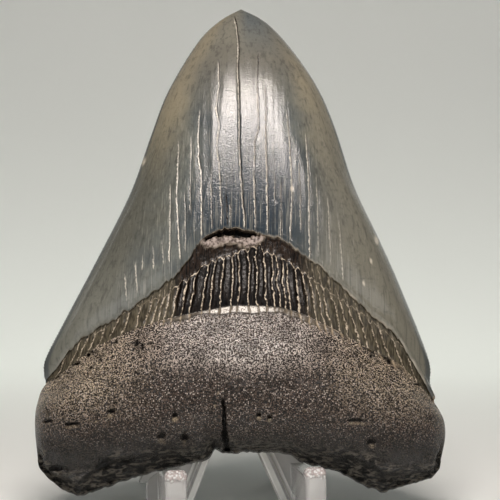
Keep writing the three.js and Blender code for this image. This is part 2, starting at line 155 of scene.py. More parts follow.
def curve_through(points, steps=60):
    """Close points along a smooth curve through the given ones, with the length so far."""
    p = np.array(points, float)
    p = np.vstack([p[:1], p, p[-1:]])
    f = np.linspace(0, 1, steps, endpoint=False)[:, None]
    parts = []
    for i in range(1, len(p) - 2):
        a, b = (p[i + 1] - p[i - 1]) / 2, (p[i + 2] - p[i]) / 2
        chord = p[i + 1] - p[i]
        parts.append(p[i] + f * a + f**2 * (3 * chord - 2 * a - b) + f**3 * (a + b - 2 * chord))
    track = np.vstack(parts + [p[-1:]])
    length = np.append(0, np.cumsum(np.hypot(*np.diff(track, axis=0).T)))
    return track, length / length[-1]


def along(curve, f):
    """Points at the parts f of a curve's length."""
    track, length = curve
    return np.stack([np.interp(f, length, track[:, 0]), np.interp(f, length, track[:, 1])], axis=-1)


def height_table(points, x):
    """A smooth curve through a table of heights, read at x."""
    track, _ = curve_through(points)
    return np.interp(x, track[:, 0], track[:, 1])


lower_edge = curve_through(LOWER_EDGE)
left_root = curve_through(LEFT_ROOT)
right_root = curve_through(RIGHT_ROOT)
left_crown = curve_through(LEFT_CROWN)
right_crown = curve_through(RIGHT_CROWN)
left_whole = curve_through(LEFT_ROOT + LEFT_CROWN)
right_whole = curve_through(RIGHT_ROOT + RIGHT_CROWN)
root_line = curve_through(ROOT_EDGE)
enamel_line = curve_through(ENAMEL_EDGE)
band_left = curve_through([LEFT_ROOT[-1], LEFT_CROWN[0]])
band_right = curve_through([RIGHT_ROOT[-1], RIGHT_CROWN[0]])
border_curves = (lower_edge, left_root, right_root)
root_border = np.vstack([along(curve, np.linspace(0, 1, 240)) for curve in border_curves])


def hashed(i, j, seed):
    """A scattered value from 0 to 1, the same each run, for each pair of whole numbers."""
    value = np.sin(i * 127.1 + j * 311.7 + seed * 74.7) * 43758.5453
    return value - np.floor(value)


def noise(x, y, seed=1):
    """Smooth noise from -1 to 1 with lumps one unit across."""
    i, j = np.floor(x), np.floor(y)
    fx, fy = x - i, y - j
    fx, fy = fx * fx * (3 - 2 * fx), fy * fy * (3 - 2 * fy)
    low = mix(hashed(i, j, seed), hashed(i + 1, j, seed), fx)
    high = mix(hashed(i, j + 1, seed), hashed(i + 1, j + 1, seed), fx)
    return 2 * mix(low, high, fy) - 1


def rough_noise(x, y, seed=1):
    """The noise with finer lumps on it, in three sizes."""
    total = 0
    for octave in range(3):
        total = total + noise(x * 2**octave, y * 2**octave, seed + octave) / 2**octave
    return total / 1.5


def patch(lower, upper, left, right, q, v, fade_power):
    """Places between four curves. Without an upper curve the patch closes where the sides meet."""
    q, v = q[None, :, None], v[:, None]
    start, end = along(left, v), along(right, v)
    place = mix(start, end, q)

    def bend(curve, at, weight):
        chord = mix(along(left, at), along(right, at), q)
        return weight[..., None] * (along(curve, q[..., 0]) - chord)

    place = place + bend(lower, 0.0, (1 - v) ** fade_power)
    if upper:
        place = place + bend(upper, 1.0, v)
    return place[..., 0], place[..., 1]


def distance_to_root_border(u, w):
    nearest = np.full(u.shape, 1e9)
    for x, y in root_border:
        nearest = np.minimum(nearest, (u - x) ** 2 + (w - y) ** 2)
    return np.sqrt(nearest)


def quarter_round(distance, radius):
    f = 1 - np.clip(distance / radius, 0, 1)
    return np.sqrt(np.maximum(0, 1 - f * f))


def rim_forward(w):
    return ROOT_RIM_FORWARD * (1 - smooth(14, NOTCH_HEIGHT + 1, w))


def crown_front(w, c):
    return height_table(CROWN_SWELL, w) * (1 - np.abs(c) ** FRONT_SQUARENESS) ** FRONT_FULLNESS


def cross(u, w):
    """From -1 at the left cutting edge to 1 at the right one."""
    left = np.interp(w, left_whole[0][:, 1], left_whole[0][:, 0])
    right = np.interp(w, right_whole[0][:, 1], right_whole[0][:, 0])
    return np.clip(2 * (u - left) / (right - left) - 1, -1, 1)


def tooth_place(x, y):
    """The place on the crown's inner face that shows at a pixel of the photograph."""
    t = 11.0
    half = PHOTO_SIZE / 2
    sin, cos = math.sin(LEAN), math.cos(LEAN)
    for _ in range(4):
        slope = (half - y) / PIXELS_PER_RADIAN
        w = (CAMERA_HEIGHT - LIFT - t * sin + slope * (CAMERA_DISTANCE - t * cos)) / (cos - slope * sin)
        u = (x - half) / PIXELS_PER_RADIAN * (w * sin - t * cos + CAMERA_DISTANCE)
        t = float(crown_front(w, cross(u, w)))
    return u, w


def traced(pixels):
    """The places of the tooth that a line in the photograph passes."""
    return np.array([tooth_place(x, y) for x, y in pixels])


def line_height(line, u):
    """The height of a traced line that runs across the tooth."""
    return np.interp(u, line[:, 0], line[:, 1])


# The cracks of the crown
# Long splits run down the enamel. The widest is dark and open, and most are filled with pale
# mineral. Each is given by how dark and how pale it is at its top, the same at its foot, and the
# pixels of the photograph that it passes.
CRACKS = [
    (0.0, 0.7, 0.0, 0.7, [(124.8, 270), (128, 305)]),
    (0.0, 0.8, 0.0, 0.8, [(136, 258), (138, 296)]),
    (0.0, 0.7, 0.0, 0.7, [(143, 250), (143, 273)]),
    (0.0, 0.8, 0.0, 0.8, [(153.5, 240), (154, 272)]),
    (0.0, 0.7, 0.0, 0.7, [(162, 235), (164, 267)]),
    (0.2, 0.6, 0.2, 0.8, [(171, 180), (169.4, 265)]),
    (0.1, 0.7, 0.3, 0.9, [(179, 137), (177, 200), (180.6, 262)]),
    (0.2, 0.5, 0.2, 0.5, [(185, 185), (186, 255)]),
    (0.1, 0.6, 0.3, 0.5, [(191.5, 130), (190.6, 185), (190, 215)]),
    (0.2, 0.9, 0.5, 1.0, [(200, 106), (198.5, 134), (198.5, 159), (201, 172), (202, 238)]),
    (0.3, 0.5, 0.3, 0.5, [(211, 165), (212, 232)]),
    (0.5, 0.8, 0.5, 1.0, [
        (218, 57), (219, 87), (216, 108), (219, 125), (217, 147), (219.5, 172), (221, 200), (222, 228),
    ]),
    (0.8, 0.1, 0.6, 0.2, [(226, 190), (227, 228)]),
    (0.4, 0.5, 0.4, 0.7, [(230, 196), (230, 230)]),
    (1.0, 0.8, 0.9, 0.8, [
        (233.5, 14), (237, 29), (238, 51), (238, 76), (239, 108), (239, 147), (241, 179), (242.5, 200),
        (245, 230),
    ]),
    (0.8, 0.4, 0.4, 0.8, [
        (258, 51), (257, 80), (258, 108), (258.5, 130), (254.5, 142), (254, 172), (255.5, 232),
    ]),
    (0.8, 0.4, 0.4, 0.9, [(265.4, 80), (266, 120), (266, 150), (267, 175), (267.5, 235)]),
    (0.1, 0.4, 0.3, 0.4, [(274, 150), (275, 205)]),
    (0.4, 0.3, 0.4, 0.7, [(280.7, 175), (280.7, 240)]),
    (0.3, 0.8, 0.3, 0.8, [(286.5, 105), (290, 153), (292, 190), (290.3, 243)]),
    (0.2, 0.4, 0.2, 0.5, [(299, 155), (301, 235)]),
    (0.3, 0.8, 0.3, 0.8, [(305.6, 130), (308.8, 189), (309.7, 262)]),
    (0.1, 0.5, 0.1, 0.5, [(316, 170), (319, 262)]),
    (0.1, 0.4, 0.1, 0.5, [(327, 190), (331, 270)]),
    (0.1, 0.4, 0.1, 0.5, [(338, 215), (343, 285)]),
]
OPEN_CRACK = 14
OPEN_CRACK_HALF_WIDTH = 0.34
OPEN_CRACK_DEPTH = 0.45
VALLEY_HALF_WIDTH = 0.8
VALLEY_DEPTH = 0.06
PALE_SPOTS = [(144, 162, 3.0), (376, 242, 4.0), (370, 264, 1.6), (363, 286, 1.6), (292, 190, 2.4)]
SERRATION_PITCH = 0.77
SERRATION_DEPTH = 0.22
# Where the slate blue lies, with its painted dark reflection of the room in front
SLATE_MIDDLE = (0.5, 66)
SLATE_HALF, SLATE_REACH = 7, 21

# A line of the surface is a whole number here, and the fraction beside it tells the distance
# from it, up to half this reach in millimetres. The materials draw the lines from that.
LINE_REACH = 2.0


def beside_line(number, distance):
    return number + np.clip(distance / LINE_REACH, -0.5, 0.5)


def crack_relief(u, w):
    """The nearest crack at each place of the crown, how dark and pale it is, and spots and depth."""
    nearest = np.full(u.shape, 1e9)
    line, line_dark, line_pale = np.zeros(u.shape), np.zeros(u.shape), np.zeros(u.shape)
    depth = np.zeros(u.shape)
    for number, (top_dark, top_pale, foot_dark, foot_pale, pixels) in enumerate(CRACKS):
        places = traced(pixels)[::-1]
        foot, top = places[0, 1], places[-1, 1]
        centre = np.interp(w, places[:, 1], places[:, 0]) + 0.09 * noise(w / 1.9, number, 5)
        strength = smooth(-0.2, 1.5, w - foot) * (1 - smooth(-3.5, 0.2, w - top))
        strength = strength * (0.85 + 0.3 * noise(w / 2.6, number, 8))
        down = np.clip((top - w) / (top - foot), 0, 1)
        closer = np.abs(u - centre) < np.abs(nearest)
        nearest = np.where(closer, u - centre, nearest)
        line = np.where(closer, beside_line(number, u - centre), line)
        line_dark = np.where(closer, strength * mix(top_dark, foot_dark, down), line_dark)
        line_pale = np.where(closer, strength * mix(top_pale, foot_pale, down), line_pale)
        depth = np.maximum(depth, VALLEY_DEPTH * bell(u - centre, VALLEY_HALF_WIDTH) * strength)
        if number == OPEN_CRACK:
            groove = bell(u - centre, OPEN_CRACK_HALF_WIDTH) * mix(1, 0.4, down) * strength
            depth = np.maximum(depth, OPEN_CRACK_DEPTH * groove)
    spots = np.zeros(u.shape)
    for x, y, size in PALE_SPOTS:
        spot_u, spot_w = tooth_place(x, y)
        far = np.hypot(u - spot_u, (w - spot_w) / 1.8) * PIXELS_PER_RADIAN / CAMERA_DISTANCE
        spots = np.maximum(spots, 0.7 * (1 - smooth(0.5, 1.0, far / size + 0.25 * noise(u * 2, w * 2, 9))))
    return depth, spots, line, line_dark, line_pale


def slate(u, w):
    """1 low in the middle of the crown, where the enamel is slate blue with a painted dark reflection on it.
    """
    far = np.hypot(u - SLATE_MIDDLE[0], (w - SLATE_MIDDLE[1]) * 0.8)
    return 1 - smooth(SLATE_HALF, SLATE_REACH, far)


# The dark band
# Under the enamel the bare dentine is dark and glossy. It is split into narrow upright scales
# with cream mineral between them. Above the scales lies a thinner ragged strip, and in the middle
# a hollow runs under the enamel, over a pale ledge; the hollow is painted black as painted shade.
# Below the scales is a smooth grey strip that ends in a thin dark line. The lines are given by
# pixels of the photograph.
MM_PER_PIXEL = CAMERA_DISTANCE / PIXELS_PER_RADIAN
MIDDLE_SEAMS = [
    177.7, 185.7, 194.5, 205.5, 212.9, 221.7, 232, 238.5, 248.8, 256.9, 265.7, 273, 278.5, 284, 288.4,
    297, 304.6, 311.2, 317, 322.9, 331,
]
OUTER_SEAMS = [
    78, 88, 97, 103, 110, 117, 126, 136, 147, 155, 161, 166, 171, 337, 345, 352, 361, 369, 378, 387,
    396, 405,
]
SEAM_SPREAD = 0.011
SEAM_LEVEL = 47.0
SCALE_TOPS = traced([
    (100, 330), (130, 308), (152, 298), (166.7, 292.5), (180.6, 280), (187.2, 279), (193, 272.7),
    (201.9, 265.3), (210, 260.2), (218, 256.5), (231.2, 254.3), (238.5, 248.5), (247.3, 248),
    (254.7, 242.6), (259.8, 242.3), (264.2, 249.2), (275.2, 252.1), (284, 255.8), (292.8, 263.9),
    (304.6, 270.5), (314.8, 279.3), (332.4, 292.5), (360, 312), (400, 345),
])
LEDGE_TOP = traced([
    (180, 215), (198, 235), (201, 239), (206, 239.5), (213, 237), (225, 234.8), (240, 236.6),
    (250, 235.2), (260, 235), (266, 229), (290, 215),
])
LEDGE_FOOT = traced([
    (190, 240), (200, 242.5), (205, 247), (212, 246), (222, 243), (235, 243), (240, 245), (248, 247),
    (256, 244), (264, 238), (270, 232),
])
STRIP_FOOT = traced([
    (60, 372), (90, 346), (105.7, 338.6), (121, 331), (133.8, 328.8), (147.8, 324.5), (159, 323),
    (170, 322.4), (184, 321), (195.5, 316), (209.5, 314), (221, 316), (232.7, 313), (250, 314.5),
    (268, 313), (282.6, 314), (291, 318), (298.7, 319.5), (312, 326), (330, 333), (350, 340),
    (400, 372),
])


def seam_line(u, w):
    """The nearest seam between scales. The seams spread apart downwards."""
    seams = (np.array(sorted(MIDDLE_SEAMS + OUTER_SEAMS)) - PHOTO_SIZE / 2) * MM_PER_PIXEL
    straight = u / (1 + SEAM_SPREAD * (SEAM_LEVEL - w))
    warped = straight + 0.3 * noise(u / 2.6, w / 3.2, 11) + 0.2 * noise(u / 0.9, w / 1.2, 12)
    place = np.clip(np.searchsorted(seams, warped), 1, len(seams) - 1)
    place = np.where(warped - seams[place - 1] < seams[place] - warped, place - 1, place)
    return beside_line(place, warped - seams[place])


def line_distance(line):
    return np.abs(line - np.round(line)) * LINE_REACH


def black_middle(u):
    """1 where the scales are black, and 0 at the sides, where they are olive grey."""
    return smooth(-18, -16, u + 0.5 * noise(u, 0, 18)) * (1 - smooth(10.5, 16, u))


def band_relief(u, w, c, up):
    """Height and marks over the band. up runs from its root side to the enamel."""
    line = seam_line(u, w)
    distance = line_distance(line)
    middle = black_middle(u)
    arch = 0.9 * bell(distance, 0.55)
    over_top = w - line_height(SCALE_TOPS, u) + arch + 0.22 * noise(u / 0.8, w / 1.5, 13)
    on_scales = 1 - smooth(-0.2, 0.2, over_top)
    dome_of_scale = 0.36 * (1 - bell(distance, 0.45)) * on_scales * mix(0.35, 1, middle)
    fibres = 0.12 * rough_noise(u / 0.5, w / 2.2, 14) * (1 - on_scales)
    ledge_top = line_height(LEDGE_TOP, u) + 0.18 * noise(u / 0.9, 0, 15)
    ledge_foot = line_height(LEDGE_FOOT, u) + 0.25 * noise(u / 0.8, 0, 16)
    hollow = smooth(-0.15, 0.2, w - ledge_top)
    ledge = smooth(-0.15, 0.15, w - ledge_foot) * (1 - hollow)
    ledge = ledge * smooth(-12.5, -11.5, u) * (1 - smooth(2.8, 4, u))
    step = (ENAMEL_STEP + BAND_LIP) * smooth(0, 0.7, up)
    height = crown_front(w, c) + BAND_LIP - step + dome_of_scale + fibres
    height = height - 1.6 * hollow + ledge * (0.45 + 0.18 * noise(u / 0.7, w / 0.6, 17))
    pale = ledge * 0.9
    line_pale = np.maximum(on_scales * mix(0.72, 1, middle), 0.3 * (1 - middle))
    line_pale = line_pale * (1 - hollow) * (1 - ledge)
    # The hollow under the enamel is painted black as painted shade; the scales in the middle are black
    # themselves.
    dark = np.maximum(hollow, on_scales * middle)
    border = np.clip(over_top + 2 * ledge, -1, 1)
    return height, (dark, pale, middle, ledge, border, line, 0 * u, line_pale)


# The root
# Dense dentine with a sugary grain, worn lumps, small blood-vessel holes, a slit in the middle,
# and broken ledges along its lower edge. Hollows are given as across, up, half width,
# half height, depth and how pale the lip under each one is.
HOLLOWS = [
    (-31.3, 17.8, 1.0, 0.5, 1.1, 0.7), (-16.8, 16.7, 0.6, 0.4, 1.0, 0.9), (2.0, 17.0, 0.5, 0.35, 1.0, 0.9),
    (4.4, 16.6, 0.5, 0.35, 1.0, 0.9), (-14.9, 12.3, 0.8, 0.6, 1.3, 0.3), (-19.9, 12.4, 0.9, 0.5, 0.9, 0.3),
    (27.5, 11.3, 0.9, 0.5, 0.9, 0.5), (23.7, 15.7, 2.2, 0.35, 0.6, 0.5), (-33, 6.6, 1.5, 1.2, 1.2, 0.1),
    (-46, 16.2, 1.2, 0.3, 0.9, 0.1), (-40, 15.2, 1.9, 0.35, 0.9, 0.4), (-44.5, 5.8, 2.4, 0.6, 1.0, 0.2),
    (-26, 33.8, 0.5, 0.7, 1.0, 0.1), (-24.6, 33.0, 0.4, 0.9, 1.1, 0.1), (-22.6, 33.5, 0.5, 0.4, 0.9, 0.2),
    (-33.9, 35.2, 0.8, 0.5, 0.9, 0.1), (-36.6, 28.3, 0.4, 0.5, 0.9, 0.7), (-31.0, 34.4, 0.6, 0.4, 0.8, 0.3),
    (-32.6, 35.9, 0.6, 0.4, 0.8, 0.1), (-43.6, 29.4, 0.5, 0.5, 0.8, 0.3), (-40.2, 30.2, 0.5, 0.3, 0.7, 0.2),
    (-45.8, 27.4, 0.5, 0.35, 0.7, 0.2), (-37.6, 31.9, 0.4, 0.4, 0.7, 0.2), (-34.3, 29.9, 0.4, 0.4, 0.6, 0.3),
    (35.0, 30.8, 1.5, 0.6, 1.1, 0.3), (37.9, 28.8, 1.2, 0.7, 1.1, 0.3), (32.3, 30.4, 0.6, 0.8, 1.0, 0.1),
    (27.9, 31.3, 0.5, 0.6, 0.8, 0.2), (29.0, 33.2, 0.5, 0.4, 0.8, 0.2), (39, 25.4, 0.8, 0.3, 0.7, 0.6),
    (-34.6, 16.2, 0.35, 0.35, 0.7, 0.9), (12.5, 18.5, 0.4, 0.3, 0.5, 0.4), (-7.2, 22.2, 0.3, 0.3, 0.3, 0.9),
    (-7.9, 19.4, 0.3, 0.3, 0.3, 0.9),
]
SLIT_TOP, SLIT_FOOT = (-6.2, 20.6), (-5.4, 9.0)
SLIT_HALF_WIDTHS = (0.28, 0.95)
SLIT_DEPTH = 3.6
LEDGE_DEPTH = 1.5
STRIP_SLOPE = 0.36
# Where the shelf's painted highlight is centred, and its half sizes across and up
SHELF_MIDDLE, SHELF_HALF = (-2, 35.5), (18, 9)


def lumps(u, w):
    """The worn rolling of the root's surface, in three sizes."""
    broad = np.sin(0.19 * u + 1.1) * np.sin(0.23 * w + 0.4)
    middle = np.sin(0.46 * u - 0.33 * w + 2)
    small = np.sin(0.9 * u + 0.7 * w) * np.sin(0.8 * w - 0.5 * u + 1)
    return 0.4 * broad + 0.25 * middle + 0.2 * small


def ledge_width(u):
    """How far up the broken ledge reaches along the root's lower edge."""
    left = 3.2 * np.exp(-(((u + 30) / 13) ** 2))
    right = 2.8 * np.exp(-(((u - 27) / 11) ** 2))
    return 0.7 + left + right + 0.35 * noise(u / 2.1, 0, 21)


def slit_in_middle(u, w):
    """Where the slit is, and how far down it a place lies."""
    down = np.clip((SLIT_TOP[1] - w) / (SLIT_TOP[1] - SLIT_FOOT[1]), 0, 1)
    centre = mix(SLIT_TOP[0], SLIT_FOOT[0], down) + 0.25 * noise(w / 1.3, 0, 22)
    half = mix(*SLIT_HALF_WIDTHS, down**2) * (1 + 0.3 * noise(w / 1.1, 0, 29))
    slit = 1 - smooth(0.5, 1.3, np.abs(u - centre) / half)
    return slit * smooth(0, 0.6, SLIT_TOP[1] - w), down


def strip_under_scales(u, w, line):
    """The smooth strip under the scales, which tips forward and catches the light from above."""
    under_band = line_height(root_line[0], u) - w
    over_foot = w - line_height(STRIP_FOOT, u) + 0.12 * noise(u / 0.8, 0, 28)
    strip = smooth(-0.15, 0.15, over_foot)
    depth = np.maximum(0, under_band + over_foot)
    seams = bell(line_distance(line), 0.28) * smooth(-1.6, 0, over_foot)
    flare = STRIP_SLOPE * np.minimum(under_band, depth) * (1 - smooth(0, 5, -over_foot))
    foot_line = bell(over_foot, 0.2) * mix(1, 0.25, smooth(10, 14, u)) * smooth(0.1, 0.8, depth)
    relief = flare * bell(u, 20) - 0.25 * foot_line - 0.2 * seams * strip
    return relief, strip, over_foot, foot_line


def hollows(u, w):
    """The depth of the small holes, how dark they are, and how pale the lip under each one is."""
    sunk, dark, pale = np.zeros(u.shape), np.zeros(u.shape), np.zeros(u.shape)
    wobble = 0.35 * noise(u * 1.3, w * 1.3, 27)
    for centre_u, centre_w, half_u, half_w, depth, lip in HOLLOWS:
        arched = w - centre_w + 0.25 * ((u - centre_u) / half_u) ** 2 * half_w
        far = np.hypot((u - centre_u) / half_u, arched / half_w) + wobble
        hole = 1 - smooth(0.6, 1.4, far)
        sunk = sunk + depth * hole
        dark = np.maximum(dark, 1 - smooth(0.6, 1.25, far))
        lip_far = np.hypot((u - centre_u) / (0.8 * half_u), (arched + 2.2 * half_w) / half_w)
        pale = np.maximum(pale, lip * (1 - smooth(0.4, 1.5, lip_far + 2 * wobble)) * (1 - hole))
    return sunk, dark, pale


def broken_edge(u, w, distance):
    """The chipped ledge along the lower edge, and the layers that show over it."""
    width = ledge_width(u)
    low = 1 - smooth(8, 13, w - 2 * bell(u + 5, 12))
    ledge = (1 - smooth(width, width + 0.5, distance)) * low
    layers = np.clip(1 - (distance - width) / 6, 0, 1) * smooth(16, 8, w) * (1 - ledge)
    ledge_noise = rough_noise(u / 2.0, w / 0.6, 24)
    layer_noise = rough_noise(u / 2.2, w / 0.55, 30)
    rough = 0.16 * layer_noise * layers + 0.5 * ledge * ledge_noise
    dark = np.maximum(
        0.7 * ledge * smooth(-0.1, 0.4, -ledge_noise), 0.5 * layers * smooth(0.1, 0.5, -layer_noise),
    )
    crease = 0.8 * bell(distance - width - 0.15, 0.45) * smooth(1.6, 3, width) * low
    edge = low * (1 - smooth(width + 0.5, width + 3, distance + noise(u / 2.5, w / 2.5, 36)))
    return ledge, rough, np.maximum(dark, crease), edge


def eaten_shoulders(u, w, c, up):
    """The pitted places where the root meets the band at both sides."""
    shoulder = smooth(0.74, 0.97, up) * smooth(0.35, 0.7, np.abs(c))
    return smooth(0.3, 0.65, -rough_noise(u / 1.5, w / 1.2, 26)) * shoulder


def root_relief(u, w, c, up):
    """Height and marks over the root. up runs from its lower edge to the band."""
    distance = distance_to_root_border(u, w)
    inside = smooth(0, 0.8, distance)
    line = seam_line(u, w)
    slit, down = slit_in_middle(u, w)
    ledge, edge_rough, edge_dark, edge = broken_edge(u, w, distance)
    flare, strip, over_foot, foot_line = strip_under_scales(u, w, line)
    sunk, hole_dark, pale = hollows(u, w)
    eaten = eaten_shoulders(u, w, c, up)

    swell = height_table(ROOT_SWELL, w) * (1 - 0.42 * c * c)
    body = rim_forward(w) + swell * quarter_round(distance, ROOT_ROUNDING)
    body = body - (LEDGE_DEPTH * ledge + SLIT_DEPTH * slit * mix(0.4, 1, down)) * inside
    height = mix(body, crown_front(w, c) + BAND_LIP, smooth(SHOULDER, 1, up)) + flare
    rough = lumps(u, w) * (1 - 0.7 * smooth(0.8, 1, up)) + 0.25 * noise(u / 4, w / 4, 25)
    rough = rough + 0.13 * rough_noise(u / 1.1, w / 1.1, 23) * (1 - strip)
    rough = rough + edge_rough - 0.6 * eaten - sunk

    dark = np.max([slit, edge_dark, 0.85 * eaten, 0.8 * foot_line, hole_dark], axis=0)
    # The shelf's painted highlight, which the zone mark carries to the material
    from_shelf = np.hypot((u - SHELF_MIDDLE[0]) / SHELF_HALF[0], (w - SHELF_MIDDLE[1]) / SHELF_HALF[1])
    shelf = 1 - smooth(0.35, 1.35, from_shelf + 0.1 * noise(u / 3, w / 3, 35))
    line_pale = 0.8 * smooth(-1.6, 0, over_foot) * mix(0.2, 1, smooth(8, 13, np.abs(u)))
    border = np.clip(over_foot, -1, 1)
    marks = (dark * inside, pale * inside, shelf, edge, border, line, 0 * u, line_pale)
    return height + rough * inside, marks


# The mesh of the tooth
# The inner face is a fine grid in three parts with a finer saw-toothed rim on the crown. The outer
# face is plainer and coarser, and is stitched to the same rim.
COLUMNS = 340
ROOT_ROW_COUNT = 118
BAND_ROW_COUNT = 26
CROWN_ROW_COUNT = 122
BACK_COLUMNS = 90
BACK_ROWS = 76
CROWN_RIM_PARTS = 4
LAST_ROW = 0.994
LAST_BAND_ROW = 0.97
SPREAD_COLUMNS, CLOSE_COLUMNS = -0.1, 0.6
ROOT_ROW_POWER, BACK_ROW_POWER = 1.12, 1.15
SHARP_EDGE = math.radians(62)


def column_places(count, closeness):
    """Places from 0 to 1, closer together at both ends where closeness is above 0."""
    f = np.linspace(0, 1, count + 1)
    return f - closeness * np.sin(2 * np.pi * f) / (2 * np.pi)


def back_height(q, u, w):
    c = 2 * q - 1
    crown = -height_table(BACK_SWELL, w) * (1 - np.abs(c) ** BACK_SQUARENESS) ** BACK_FULLNESS
    crown = crown - 0.05 * noise(u / 1.3, w / 25, 31)
    distance = distance_to_root_border(u, w)
    rough = 0.6 * lumps(u + 40, w) + 0.12 * rough_noise(u / 1.4, w / 1.4, 32)
    swell = ROOT_BACK_SWELL * (1 - 0.2 * c * c) * (1 - 0.35 * smooth(12, 36, w))
    root = rim_forward(w) - swell * quarter_round(distance, ROOT_BACK_ROUNDING)
    root = root + rough * smooth(0, 2, distance)
    border = 25 + 11 * (1 - c * c) + 0.6 * noise(u / 3, 0, 33)
    return mix(root, crown, smooth(-0.9, 0.5, w - border)), border


def tooth_to_world(u, w, t):
    x = u + shift_x
    y = w * math.sin(LEAN) - t * math.cos(LEAN) + shift_y
    z = LIFT + w * math.cos(LEAN) + t * math.sin(LEAN)
    return np.stack([x, y, z], axis=-1) * MM


q = column_places(COLUMNS, SPREAD_COLUMNS)
c = np.broadcast_to(2 * q - 1, (1, COLUMNS + 1))
ragged = 0.34 * noise(q * 60, 0, 41) + 0.34 * noise(q * 170, 0, 42)

root_rows = np.linspace(0, 1, ROOT_ROW_COUNT, endpoint=False) ** ROOT_ROW_POWER
u, w = patch(lower_edge, root_line, left_root, right_root, q, root_rows, 1)
uneven = 0.22 * noise(u / 1.6, 0, 37) + 0.14 * noise(u / 0.7, 0, 38)
w = w + uneven * (1 - smooth(0, 0.3, root_rows))[:, None] * smooth(0, 0.03, np.minimum(q, 1 - q))
root_t, root_marks = root_relief(u, w, c, root_rows[:, None])
root_t[0] = rim_forward(w[0])
root_part = (u, w, root_t, *root_marks)

band_rows = np.linspace(0, LAST_BAND_ROW, BAND_ROW_COUNT)
u, w = patch(root_line, enamel_line, band_left, band_right, q, band_rows, 1)
w = w + ragged * band_rows[:, None] * smooth(0, 0.06, np.minimum(q, 1 - q))
band_t, band_marks = band_relief(u, w, c, band_rows[:, None])
band_part = (u, w, band_t, *band_marks)

crown_rows = np.linspace(0, LAST_ROW, CROWN_ROW_COUNT)
u, w = patch(enamel_line, None, left_crown, right_crown, q, crown_rows, 1.2)
w = w + ragged * ((1 - crown_rows) ** 12)[:, None] * smooth(0, 0.06, np.minimum(q, 1 - q))
depth, spots, line, line_dark, line_pale = crack_relief(u, w)
streaks = 0.035 * noise(u / 1.5, w / 28, 43) + 0.02 * noise(u / 0.6, w / 17, 44)
away = smooth(0, 0.05, np.minimum(q, 1 - q))
edge_thin = smooth(0, 0.012, crown_rows)[:, None]
crown_t = crown_front(w, c) + (streaks - depth) * away - 0.35 * (1 - edge_thin)
edge_line = (1 - smooth(0, 0.007, crown_rows))[:, None] * mix(0.1, 0.6, smooth(0, 6, u))
spots = np.maximum(spots, edge_line * np.clip(0.6 + 0.6 * noise(u / 1.2, 0, 45), 0, 1))
crown_part = (u, w, crown_t, 0 * u, spots, slate(u, w), 0 * u, 0 * u, line, line_dark, line_pale)

front = [np.vstack(parts) for parts in zip(root_part, band_part, crown_part)]
row_count = len(front[0])
inner = slice(1, COLUMNS)

# What each point hands to the materials: dark and pale places, where the black of the band's hollow
# is painted shade; a zone of another colour: on the root the shelf, painted paler as its highlight,
# on the band the black middle, and on the enamel the slate blue with a painted dark reflection on
# it; a smooth strip or ledge; the distance from the border of the scales, in millimetres; and the
# nearest line, with how dark and how pale that is.
MARK_NAMES = ("dark", "pale", "zone", "strip", "border", "line", "line_dark", "line_pale")
points, values, faces, face_materials = [], [], [], []
ROOT_SLOT, BAND_SLOT, ENAMEL_SLOT = 0, 1, 2


def add_points(u, w, t, *marks):
    """Adds points with their marks, which are 0 if none are given, and returns their numbers."""
    first = sum(len(p) for p in points)
    marks = marks or [0.0] * len(MARK_NAMES)
    u, w, t, *marks = (np.ravel(a) for a in np.broadcast_arrays(u, w, t, *marks))
    points.append(np.stack([u, w, t], axis=-1))
    values.append(np.stack(marks, axis=-1))
    return first + np.arange(len(u))


def add_face(corners, material):
    faces.append(corners)
    face_materials.append(material)


def add_grid(rows, materials):
    for low, high, material in zip(rows[:-1], rows[1:], materials):
        for k in range(len(low) - 1):
            add_face((low[k], low[k + 1], high[k + 1], high[k]), material)


def add_strip(fine, fine_at, coarse, coarse_at, material_of, flip=False):
    """Joins two lines of points with different spacing, matched by where their points lie."""
    i = j = 0
    while i < len(fine) - 1 or j < len(coarse) - 1:
        if j == len(coarse) - 1 or (i < len(fine) - 1 and fine_at[i + 1] <= coarse_at[j + 1]):
            corners = (fine[i], fine[i + 1], coarse[j])
            at = fine_at[i]
            i += 1
        else:
            corners = (fine[i], coarse[j + 1], coarse[j])
            at = coarse_at[j]
            j += 1
        add_face(corners[::-1] if flip else corners, material_of(at))


def slot_by_height(w):
    return ROOT_SLOT if w < NOTCH_HEIGHT - 1 else ENAMEL_SLOT


def rim_line(root_curve, crown_curve, outward):
    """The rim of one side from the lower corner to the tip, with saw teeth on the crown."""
    root_at = np.linspace(0, 1, ROOT_ROW_COUNT)
    crown_at = np.linspace(0, 1, CROWN_ROW_COUNT * CROWN_RIM_PARTS)[:-1]
    root_points = along(root_curve, root_at)
    crown_points = along(crown_curve, crown_at)
    track, _ = crown_curve
    total = np.sum(np.hypot(*np.diff(track, axis=0).T))
    phase = crown_at * total / SERRATION_PITCH
    tooth = np.abs(phase - np.floor(phase) - 0.5) * 2
    worn = np.clip(0.75 + 0.5 * noise(crown_at * 25, 0, 51), 0.2, 1.2)
    ends = smooth(0.0, 0.03, crown_at) * (1 - smooth(0.97, 1.0, crown_at))
    crown_points[:, 0] += outward * SERRATION_DEPTH * (tooth - 0.6) * worn * ends
    return np.vstack([root_points, crown_points])


front_rows = [add_points(*(a[r, inner] for a in front)) for r in range(row_count)]
row_materials = (
    [ROOT_SLOT] * ROOT_ROW_COUNT + [BAND_SLOT] * BAND_ROW_COUNT + [ENAMEL_SLOT] * CROWN_ROW_COUNT
)
add_grid(front_rows, row_materials)

left_rim, right_rim = rim_line(left_root, left_crown, -1), rim_line(right_root, right_crown, 1)
left_numbers = add_points(*left_rim.T, rim_forward(left_rim[:, 1]))
right_numbers = add_points(*right_rim.T, rim_forward(right_rim[:, 1]))
tip = add_points(*LEFT_CROWN[-1], 0.0)[0]


